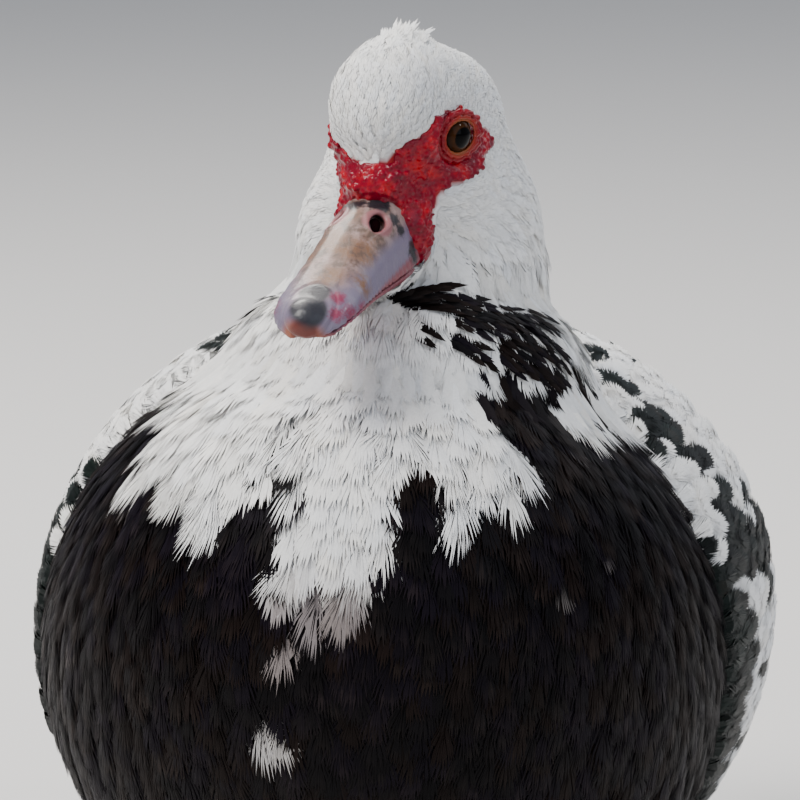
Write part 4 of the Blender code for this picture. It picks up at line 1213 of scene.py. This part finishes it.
# Black streaks cross the white base of the neck, most of them on the bird's
# left: narrow black feathers laid in lines over the white ones.
NECK_STREAKS = (
    # both ends of each as the camera sees it, half width, in mm
    (-6, 30.4, 12, 30.8, 0.7),
    (9, 30.6, 45, 26, 1.1),
    (-4, 28.4, 12, 27.4, 1.0),
    (9, 27.8, 28, 24.2, 1.6),
    (25, 25, 49, 16.0, 2.2),
    (2, 21.6, 7, 19.6, 0.6),
    (11, 20.0, 24, 14.6, 0.9),
    (26, 18, 48, 9.0, 2.0),
    (-34, 33.5, -52, 28.5, 0.7),
    (-40, 29, -60, 22.5, 0.7),
)
streak_roots, streak_ways = [], []
for x1, z1, x2, z2, half in NECK_STREAKS:
    run = math.hypot(x2 - x1, z2 - z1)
    along_x, along_z = (x2 - x1) / run, (z2 - z1) / run
    for row in np.arange(-half, half + 0.01, 1.1):
        place = -3.0 + draw.uniform(0, 1.5)
        while place < run - 8:
            x = x1 + along_x * place - along_z * row
            z = z1 + along_z * place + along_x * row + draw.normal(0, 0.25)
            start = aim + camera_right * x * MM + camera_up * z * MM + toward_camera
            hit = skin_tree.ray_cast(start, -toward_camera)[0]
            if hit is not None:
                streak_roots.append(tuple(hit))
                streak_ways.append(tuple(camera_right * along_x + camera_up * (along_z - 0.10)))
            place += draw.uniform(2.2, 4.0)


def along_streaks(roots, lengths, turns):
    """Walks the shafts of the black neck feathers along their streaks."""
    places = np.empty((len(roots), STEPS, 3))
    ups = np.empty_like(places)
    for i, (root, way) in enumerate(zip(roots, streak_ways)):
        place, normal = on_skin(root)
        for k in range(STEPS):
            places[i, k], ups[i, k] = place, normal
            ahead = Vector(way) - normal * normal.dot(Vector(way))
            ahead = Matrix.Rotation(turns[i], 3, normal) @ ahead.normalized()
            place, normal = on_skin(place + ahead * lengths[i] / (STEPS - 1))
    return places, ups


coat(
    "black_neck_streaks", np.array(streak_roots), np.full(len(streak_roots), 15 * MM), 2.6 * MM,
    4, 4.6 * MM, 44, black_tint, black_plumage, rough=0.5, walk=along_streaks,
)

# Each folded wing is a bed of flesh and down under tiers of firm vanes, painted black:
# the dark plumage beneath, and painted shade where it shows between the tiers. The small
# coverts lie over the roots of the greater ones, those over the flight feathers, and the
# scapulars over all of them along the back.
WING_ENVELOPE = (
    # place along the trunk, height of the middle, half width, reach up, reach down
    (-80, 154, 104, 104, 98), (-50, 153.5, 110, 108, 101), (-20, 153, 114.5, 106, 103),
    (20, 152.5, 117, 103, 102), (60, 154, 115.5, 96, 97), (100, 159, 106, 84, 87),
    (140, 167, 87, 69, 71), (180, 177, 63, 50, 51), (220, 189, 42, 32, 33),
    (260, 200, 26, 18, 18), (290, 208, 16, 10, 8),
)
WING_EDGES = ((-58, -8, 30), (-35, -20, 52), (0, -28, 64), (40, -29, 70), (80, -25, 74), (112, -18, 76))
WING_TUCK_FROM, WING_TUCK = 55, 0.16
VANE_ROWS = (
    0, 0.12, 0.26, 0.36, 0.46, 0.54, 0.61, 0.67, 0.73, 0.78, 0.82, 0.86, 0.90, 0.93, 0.955, 0.975, 0.99, 1.0,
)
VANE_COLUMNS = (-1, -0.7, -0.35, 0, 0.35, 0.7, 1)


def table(rows, at):
    columns = np.array(rows).T
    return [np.interp(at, columns[0], column) for column in columns[1:]]


def on_wing(side, y, degrees, lift):
    """A place on the folded wing's outer surface, raised off it by lift."""
    high, wide, up, down = table(WING_ENVELOPE, y)
    turn = math.radians(degrees)
    lift -= WING_TUCK * max(0, degrees - WING_TUCK_FROM)
    reach = (up if degrees > 0 else down) + lift
    return leaned(side * (wide + lift) * math.cos(turn), y, high + reach * math.sin(turn))


def vane_width(share, blunt):
    """A vane's width along its length: narrow at the root, round at the tip."""
    rise = min(1, 0.45 + 1.7 * share)
    if share <= blunt:
        return rise
    return rise * math.sqrt(max(0.004, 1 - ((share - blunt) / (1 - blunt)) ** 2))


def vanes(name, feathers, material):
    """Firm feathers in one mesh. Each is a closed vane, ridged over its shaft.

    A feather is its centre line as a function, its width, its blunt share, how
    far it bends over its shaft, its colours at root, tip and rim, and its place
    on the flat map.
    """
    points, colours, patches, faces, barbs = [], [], [], [], []
    draw = random.Random(len(feathers))
    around = len(VANE_COLUMNS) + 2
    for line, width, blunt, bend, root_tint, tip_tint, rim_tint, spot in feathers:
        base = len(points)
        notch = {(draw.choice((-1, 1)), draw.randint(6, 14)): draw.uniform(0.78, 0.92) for _ in range(2)}
        long = (line(1)[0] - line(0)[0]).length / MM
        number = draw.uniform(0, 500)
        for i, share in enumerate(VANE_ROWS):
            middle, up = line(share)
            ahead = (line(min(1, share + 0.02))[0] - line(max(0, share - 0.02))[0]).normalized()
            across = ahead.cross(up).normalized()
            half = width / 2 * vane_width(share, blunt)
            thick = 0.45 * MM * (1 - 0.6 * share)
            for aside in VANE_COLUMNS:
                half_here = half * notch.get((1 if aside > 0 else -1, i), 1) if abs(aside) == 1 else half
                x = half_here * aside
                ridge = 0.35 * MM * (1 - share) if aside == 0 else 0
                points.append(middle + across * x + up * (ridge - bend * x * x))
                tint = root_tint * (1 - share) + tip_tint * share
                rim = max(0.0, (share - 0.90) / 0.1, (abs(aside) - 0.75) * 1.6 * min(1, share * 2))
                tint = tint * (1 - min(1, rim)) + rim_tint * min(1, rim)
                colours.append(tint * (0.86 if aside == 0 else 1) * draw.uniform(0.94, 1.04))
                patches.append(spot + np.array((0.0014 * aside, 0.003 * share - 0.0015)))
                barbs.append((x / MM, share * long, number))
            for aside in (0.8, -0.8):
                x = half * aside
                points.append(middle + across * x - up * (thick + bend * x * x))
                colours.append(tip_tint * 0.8)
                patches.append(spot + np.array((0.0012 * aside, 0.003 * share - 0.0015)))
                barbs.append((x / MM, share * long, number))
        for i in range(len(VANE_ROWS) - 1):
            near, far = base + around * i, base + around * (i + 1)
            for j in range(around):
                k = (j + 1) % around
                faces.append((near + j, near + k, far + k, far + j))
        faces.append(tuple(base + j for j in reversed(range(around))))
        last = base + around * (len(VANE_ROWS) - 1)
        faces.append(tuple(last + j for j in range(around)))
    mesh = bpy.data.meshes.new(name)
    mesh.from_pydata([tuple(p) for p in points], [], faces)
    shaped = bmesh.new()
    shaped.from_mesh(mesh)
    bmesh.ops.recalc_face_normals(shaped, faces=shaped.faces)
    shaped.to_mesh(mesh)
    shaped.free()
    obj = bpy.data.objects.new(name, mesh)
    bpy.context.scene.collection.objects.link(obj)
    paint(obj, np.array([tuple(c) for c in colours]))
    slanted = obj.data.attributes.new("barbs", "FLOAT_VECTOR", "POINT")
    slanted.data.foreach_set("vector", np.array(barbs, np.float32).ravel())
    layer = mesh.uv_layers.new(name="OFBake")
    flat = np.empty(len(mesh.loops), np.int32)
    mesh.loops.foreach_get("vertex_index", flat)
    layer.data.foreach_set("uv", np.array(patches)[flat].astype(np.float32).ravel())
    bpy.ops.object.select_all(action="DESELECT")
    obj.select_set(True)
    bpy.context.view_layer.objects.active = obj
    bpy.ops.object.shade_smooth_by_angle(angle=math.radians(50))
    obj.data.materials.append(material)
    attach(obj, "root")
    return obj


BLACK_GREEN = np.array((0.0035, 0.0070, 0.0055))
PALE_EDGE = np.array((0.10, 0.085, 0.075))
WARM_WHITE = np.array((0.84, 0.83, 0.80))
WING_TIERS = (
    # count, lowest and highest root, lowest and highest tip, lift of root and tip,
    # width, share of white feathers
    ("primary", 7, (98, -12), (98, 38), (272, 48), (208, 70), -16, -3, 19, 1.0),
    ("secondary", 10, (52, -26), (60, 50), (150, -13), (176, 58), -5.0, -3.7, 22, 0.1),
    ("tertial", 5, (40, 46), (46, 76), (176, 55), (206, 87), -7.0, -2.4, 25, 0.0),
    ("greater covert", 14, (16, -28), (26, 60), (104, -25), (122, 64), -7.0, -2.2, 17, 0.75),
    ("long scapular", 7, (-6, 50), (12, 77), (98, 50), (126, 86), -9.0, -1.2, 20, 0.2),
)


def wing_feathers(side):
    draw = random.Random(60 + side)
    feathers = []
    for kind, count, root_a, root_b, tip_a, tip_b, lift_root, lift_tip, width, white in WING_TIERS:
        for k in range(count):
            share = k / (count - 1)
            jog = draw.uniform(-1, 1)
            root = [a + (b - a) * share for a, b in zip(root_a, root_b)]
            tip = [a + (b - a) * share for a, b in zip(tip_a, tip_b)]
            tip[0] += jog * (2.2 if kind != "primary" else 0)
            raised = 0.7 * (1 - share) + (0.8 * k if kind == "primary" else 0.5 * (k % 2))

            def line(at, root=root, tip=tip, raised=raised, a=lift_root, b=lift_tip):
                y = root[0] + (tip[0] - root[0]) * at
                degrees = root[1] + (tip[1] - root[1]) * at
                lift = a + (b - a) * min(1, at * 1.6) + raised
                place = on_wing(side, y, degrees, lift)
                return place, (on_wing(side, y, degrees, lift + 1) - place).normalized()

            is_white = draw.random() < white
            if kind == "primary":
                tints = (WARM_WHITE, WARM_WHITE * 0.93, WARM_WHITE * 0.85)
            elif is_white:
                tints = (WARM_WHITE, WARM_WHITE * draw.uniform(0.94, 1), WARM_WHITE * 1.04)
            else:
                tints = (BLACK_GREEN, BLACK_GREEN * 1.3, BLACK_GREEN if draw.random() < 0.6 else PALE_EDGE)
            reach = table(WING_ENVELOPE, root[0])[1]
            spot = np.array((
                0.5 + side * (0.02 + 0.0019 * (root[1] + 60)), 0.2 + 0.0022 * (root[0] + 80)
            ))
            bend = 0.35 / (reach * MM) if kind != "primary" else 4.0
            blunt = 0.72 if kind in ("primary", "tertial") else 0.62
            feathers.append((line, width * MM, blunt, bend, *tints, spot))
    return feathers


def firm_plumage():
    """Firm feather stuff: as the soft one, with fine barbs slanting off the shaft."""
    material = plumage("firm feathers", 0.42, 0.0, (0.7, 0.9, 0.8), 500, 0.16)
    tree, shader, node = links(material)
    place = node("ShaderNodeAttribute", attribute_name="barbs")
    parts = node("ShaderNodeSeparateXYZ")
    aside = node("ShaderNodeMath", operation="ABSOLUTE")
    slant = node("ShaderNodeMath", operation="MULTIPLY_ADD")
    slant.inputs[1].default_value = -0.9
    lines = node("ShaderNodeCombineXYZ")
    barbs = node("ShaderNodeTexNoise", Scale=1.6, Detail=2.0, Roughness=0.6)
    thin = node("ShaderNodeMath", operation="MULTIPLY")
    thin.inputs[1].default_value = 0.06
    tree.links.new(place.outputs["Vector"], parts.inputs["Vector"])
    tree.links.new(parts.outputs["X"], aside.inputs[0])
    tree.links.new(aside.outputs["Value"], slant.inputs[0])
    tree.links.new(parts.outputs["Y"], slant.inputs[2])
    tree.links.new(aside.outputs["Value"], thin.inputs[0])
    tree.links.new(slant.outputs["Value"], lines.inputs["X"])
    tree.links.new(thin.outputs["Value"], lines.inputs["Y"])
    tree.links.new(parts.outputs["Z"], lines.inputs["Z"])
    tree.links.new(lines.outputs["Vector"], barbs.inputs["Vector"])
    band = node("ShaderNodeMapRange")
    band.inputs["From Min"].default_value = 0.3
    band.inputs["From Max"].default_value = 0.7
    band.inputs["To Min"].default_value = 0.74
    band.inputs["To Max"].default_value = 1.12
    mixer = node("ShaderNodeMix", data_type="RGBA", blend_type="MULTIPLY")
    mixer.inputs["Factor"].default_value = 1.0
    bump = node("ShaderNodeBump", Strength=0.5, Distance=0.0004)
    tree.links.new(barbs.outputs["Fac"], band.inputs["Value"])
    tree.links.new(shader.inputs["Base Color"].links[0].from_socket, mixer.inputs[6])
    tree.links.new(band.outputs["Result"], mixer.inputs[7])
    tree.links.new(mixer.outputs[2], shader.inputs["Base Color"])
    tree.links.new(barbs.outputs["Fac"], bump.inputs["Height"])
    tree.links.new(shader.inputs["Normal"].links[0].from_socket, bump.inputs["Normal"])
    tree.links.new(bump.outputs["Normal"], shader.inputs["Normal"])
    return material


def green_tint(draw, along, tips):
    """Black barbs with a green gloss, the tips of a few feathers brown."""
    n, m = along.shape[:2]
    base = BLACK_GREEN * draw.uniform(0.6, 1.5, (n, 1, 1, 1)) * draw.uniform(0.8, 1.2, (n, m, 1, 1))
    brown = (draw.random((n, 1, 1, 1)) < 0.25) * (along[..., None] > 0.9)
    return base * np.ones((n, m, 4, 3)) + brown * np.array((0.02, 0.013, 0.010))


WING_STRIPES = (
    # both ends of each as the camera sees it, half width: black coverts among the white
    (70, 6, 95, -19, 2.6),
    (99, -22, 107, -44, 2.4),
)


def soft_coverts(side):
    """Rows of small feathers over the front of a wing and along the back beside it.

    Each is its shaft's places and outward ways, its length and width in metres,
    whether it is white, and its place on the flat map.
    """
    draw = random.Random(60 + side)
    rows = []
    for k in range(12):
        tip = -50 + 10.5 * k
        low, high = table(WING_EDGES, tip)
        over = -2.4 + 0.25 * max(0, k - 5)
        rows.append((tip, 26 + 1.4 * k, float(low) - 2, float(high) + 4, 9.5 + 0.4 * k, over))
    for k in range(9):
        tip = -28 + 15 * k
        rows.append((tip, 27 if k < 4 else 36, float(table(WING_EDGES, tip)[1]) - 8, 86, 14, -1.2))
    found = []
    for number, (tip, long, low, high, width, lift) in enumerate(rows):
        count = int((high - low) * 1.8 / (width * 0.78))
        for k in range(count):
            degrees = low + (high - low) * (k + 0.5 * (number % 2)) / (count - 0.5) + draw.gauss(0, 0.8)
            tip_here = tip + draw.gauss(0, 1.8) - 0.12 * max(0, degrees - 60)
            front = max(0, 1 - number / 6) if number < 12 else 0
            tip_here += 15 * (0.62 - math.cos(math.radians(1.6 * (degrees - 12)))) * front
            turned = draw.gauss(0, 1.2)
            places, ups = [], []
            for step in range(STEPS):
                y = tip_here - long * (1 - step / (STEPS - 1))
                at = degrees + turned * (1 - step / (STEPS - 1))
                wrapped = lift - 0.95 * max(0, -50 - y)
                place = on_wing(side, y, at, wrapped)
                places.append(tuple(place))
                ups.append(tuple((on_wing(side, y, at, wrapped + 1) - place).normalized()))
            if number >= 12:
                is_white = draw.random() < (0.4 if tip < 10 else 0.12)
            elif degrees > 22 + draw.gauss(0, 4):
                is_white = draw.random() < (0.82 if number < 2 else 0.96)
            else:
                is_white = tip > -12 and degrees < 12 and draw.random() < 0.92
            seen = [part[0] for part in as_seen(np.array(places[-1:]))]
            if min(near_capsule(*seen, stripe) for stripe in WING_STRIPES) < 0:
                is_white = False
            spot = (0.5 + side * (0.02 + 0.0019 * (degrees + 60)), 0.2 + 0.0022 * (tip + 80))
            found.append((places, ups, long * MM, width * 1.25 * MM, is_white, spot))
    return found


firm_feathers = firm_plumage()
down = plumage("wing down", 0.85, 0.0, (1, 1, 1), 600)
for side, word in ((1, "left"), (-1, "right")):
    grid = []
    for y in np.linspace(WING_EDGES[0][0], WING_EDGES[-1][0], 12):
        low, high = table(WING_EDGES, y)
        nose = -16 + 7 * min(1, (y - WING_EDGES[0][0]) / 16)
        grid.append([on_wing(side, y, low + (high - low) * j / 11, nose) for j in range(12)])
    rows = [tuple(p) for row in grid for p in row]
    quads = [
        (12 * i + j, 12 * i + j + 1, 12 * i + j + 13, 12 * i + j + 12)
        for i in range(11) for j in range(11)
    ]
    mesh = bpy.data.meshes.new(f"wing_bed_{word}")
    mesh.from_pydata(rows, [], quads if side > 0 else [tuple(reversed(q)) for q in quads])
    bed = bpy.data.objects.new(f"wing_bed_{word}", mesh)
    bpy.context.scene.collection.objects.link(bed)
    thick = bed.modifiers.new("thick", "SOLIDIFY")
    thick.thickness = 3.5 * MM
    thick.offset = -1
    settled(bed)
    bpy.ops.object.shade_smooth()
    # The bed is painted black: the dark plumage beneath, and painted shade where it shows in the gaps between the
    # tiers.
    paint(bed, np.tile(BLACK, (len(bed.data.vertices), 1)))
    bed.data.materials.append(down)
    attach(bed, "root")
    wing = vanes(f"wing_feathers_{word}", wing_feathers(side), firm_feathers)
    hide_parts(f"wing_{word}")
    small = soft_coverts(side)
    for colour, is_white in (("white", True), ("black", False)):
        chosen = [feather for feather in small if feather[4] == is_white]
        shafts = tuple(np.array([feather[part] for feather in chosen]) for part in (0, 1))
        coat(
            f"{colour}_wing_coverts_{word}", shafts[0][:, 0], np.array([f[2] for f in chosen]),
            np.array([f[3] for f in chosen]), 18, 2.0 * MM, 70,
            white_tint if is_white else green_tint, white_plumage if is_white else black_plumage,
            rough=0.15, fine_share=0.62, walk=lambda *_: shafts,
            spots=np.array([f[5] for f in chosen]),
        )

# The tail is a flat fan of long stiff quills that lap from the middle outwards,
# under and over shorter coverts.
TAIL_TIERS = (
    # count, place of roots and tips, spread of roots and tips, heights, dome, over or under,
    # width, share of white feathers
    (12, 198, 346, 20, 49, 185, 178, 4.5, 1, 21, 0.15),
    (7, 190, 300, 26, 40, 187, 181, 5.5, 1, 22, 0.2),
    (7, 182, 276, 27, 36, 191, 184.5, 7, 1, 20, 0.3),
    (7, 172, 248, 30, 32, 196, 189, 11, 1, 19, 0.4),
    (7, 160, 222, 33, 31, 202, 195, 15, 1, 18, 0.3),
    (7, 182, 288, 26, 37, 174, 176, 5.5, -1, 20, 0.6),
    (6, 176, 258, 28, 32, 167, 173, 8, -1, 19, 0.7),
)


def tail_feathers():
    draw = random.Random(77)
    feathers = []
    for number, tier in enumerate(TAIL_TIERS):
        count, y_root, y_tip, in_root, in_tip, high_root, high_tip, dome, over, width, white = tier
        for k in range(count):
            s = 2 * k / (count - 1) - 1
            lap = over * (1 - abs(s)) * 2.2 + over * (0.4 if s > 0 else 0)
            reach_tip = y_tip - 0.16 * (y_tip - y_root) * s * s + draw.uniform(-1, 1)

            def line(at, s=s, lap=lap, tip=reach_tip, row=tier):
                _, y0, _, a, b, z0, z1, dome, over, _, _ = row
                x = s * (a + (b - a) * at)
                y = y0 + (tip - y0) * at
                z = z0 + (z1 - z0) * at - over * dome * s * s * (1 - 0.4 * at) + lap * (0.4 + 0.6 * at)
                up = Vector((over * s * 0.25, 0, over)).normalized()
                return leaned(x, y, z), up

            if draw.random() < white:
                tints = (WARM_WHITE * 0.95, WARM_WHITE, WARM_WHITE)
            else:
                tints = (BLACK_GREEN, BLACK_GREEN * 1.5, BLACK_GREEN * 1.3)
            spot = np.array((0.5 + 0.008 * (k - count / 2), 0.08 + 0.1 * number))
            feathers.append((line, width * MM, 0.72, 3.0, *tints, spot))
    return feathers


tail = vanes("tail_feathers", tail_feathers(), firm_feathers)
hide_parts("tail")

# Legs and webbed feet: yellow scaly skin with dark blotches. Broad scutes cross
# the front of each shank and the top of each toe, small ones cover the rest.
ANKLE = (50, 5, 12)
HEEL = (50, 30, 52)
TOES = (("inner", -24, 44), ("middle", 3, 60), ("outer", 27, 55), ("hind", 196, 17))


def scute(place, ahead, up, half_long, half_wide, half_high):
    across = ahead.cross(up).normalized()
    turned = Matrix((across, ahead, up)).transposed().to_4x4()
    bpy.ops.mesh.primitive_ico_sphere_add(subdivisions=2, radius=1, location=(0, 0, 0))
    made = bpy.context.object
    size = Matrix.Diagonal((half_wide, half_long, half_high, 1))
    made.data.transform(Matrix.Translation(place) @ turned @ size)
    return made


def leg_skin():
    material, shader = plain("scaly leg skin", (0.62, 0.42, 0.10), 0.42)
    tree, shader, node = links(material)
    place = node("ShaderNodeTexCoord")
    blotches = node("ShaderNodeTexNoise", Scale=85.0, Detail=5.0, Roughness=0.6)
    ramp = node("ShaderNodeValToRGB")
    ramp.color_ramp.elements[0].position = 0.38
    ramp.color_ramp.elements[0].color = (0.055, 0.042, 0.030, 1)
    ramp.color_ramp.elements[1].position = 0.60
    ramp.color_ramp.elements[1].color = (0.72, 0.50, 0.13, 1)
    middle = ramp.color_ramp.elements.new(0.47)
    middle.color = (0.40, 0.27, 0.09, 1)
    scales = node("ShaderNodeTexVoronoi", Scale=620.0)
    bump = node("ShaderNodeBump", Strength=0.6, Distance=0.0005)
    tree.links.new(place.outputs["Object"], blotches.inputs["Vector"])
    tree.links.new(place.outputs["Object"], scales.inputs["Vector"])
    tree.links.new(blotches.outputs["Fac"], ramp.inputs["Fac"])
    tree.links.new(ramp.outputs["Color"], shader.inputs["Base Color"])
    tree.links.new(scales.outputs["Distance"], bump.inputs["Height"])
    tree.links.new(bump.outputs["Normal"], shader.inputs["Normal"])
    return material


scaly = leg_skin()
for side, word in ((1, "left"), (-1, "right")):
    parts = [copy_of(f"shank_{word}"), copy_of(f"foot_{word}")]
    base = Vector((side * ANKLE[0], ANKLE[1] + 1, 0)) * MM + Vector((0, TRUNK_MIDDLE_Y, 0))
    for name, degrees, length in TOES:
        turn = math.radians(degrees)
        ahead = Vector((side * math.sin(turn), -math.cos(turn), 0))
        count = max(3, int(length / 3.6))
        for k in range(count):
            share = (k + 0.8) / (count + 0.4)
            radius = 4.6 + (2.9 - 4.6) * share
            top = base + ahead * length * share * MM + Vector((0, 0, (radius * 1.72) * MM))
            parts.append(scute(top, ahead, Vector((0, 0, 1)), 1.9 * MM, radius * 0.74 * MM, 0.75 * MM))
    low = Vector((side * ANKLE[0], ANKLE[1], ANKLE[2])) * MM + Vector((0, TRUNK_MIDDLE_Y, 0))
    high = Vector((side * HEEL[0], HEEL[1], HEEL[2])) * MM + Vector((0, TRUNK_MIDDLE_Y, 0))
    along_shank = (high - low).normalized()
    front = Vector((0, -along_shank.z, along_shank.y)).normalized()
    for k in range(11):
        place = low + (high - low) * (0.06 + 0.8 * k / 10) + front * 5.4 * MM
        parts.append(scute(place, along_shank, front, 2.2 * MM, 3.6 * MM, 1.0 * MM))
    foot = fused(joined(f"leg_and_foot_{word}", parts), 0.62 * MM, 1)
    foot.data.materials.clear()
    foot.data.materials.append(scaly)
    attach(foot, "root")
    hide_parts(f"shank_{word}", f"foot_{word}")

# The claws are short blunt horn, mottled dark and pale in fine streaks.
claw_nodes = [f"claw_{toe[0]}_{word}" for toe in TOES for word in ("left", "right")]
claws = fused(joined("claws", [copy_of(node) for node in claw_nodes]), 0.4 * MM, 2)
horn_dark, shader = plain("claw horn", (0.06, 0.05, 0.045), 0.35)
tree, shader, node = links(horn_dark)
place = node("ShaderNodeTexCoord")
streaks = node("ShaderNodeTexNoise", Scale=500.0, Detail=3.0)
ramp = node("ShaderNodeValToRGB")
ramp.color_ramp.elements[0].color = (0.03, 0.026, 0.024, 1)
ramp.color_ramp.elements[1].color = (0.22, 0.17, 0.11, 1)
tree.links.new(place.outputs["Object"], streaks.inputs["Vector"])
tree.links.new(streaks.outputs["Fac"], ramp.inputs["Fac"])
tree.links.new(ramp.outputs["Color"], shader.inputs["Base Color"])
claws.data.materials.clear()
claws.data.materials.append(horn_dark)
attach(claws, "root")
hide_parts(*claw_nodes)
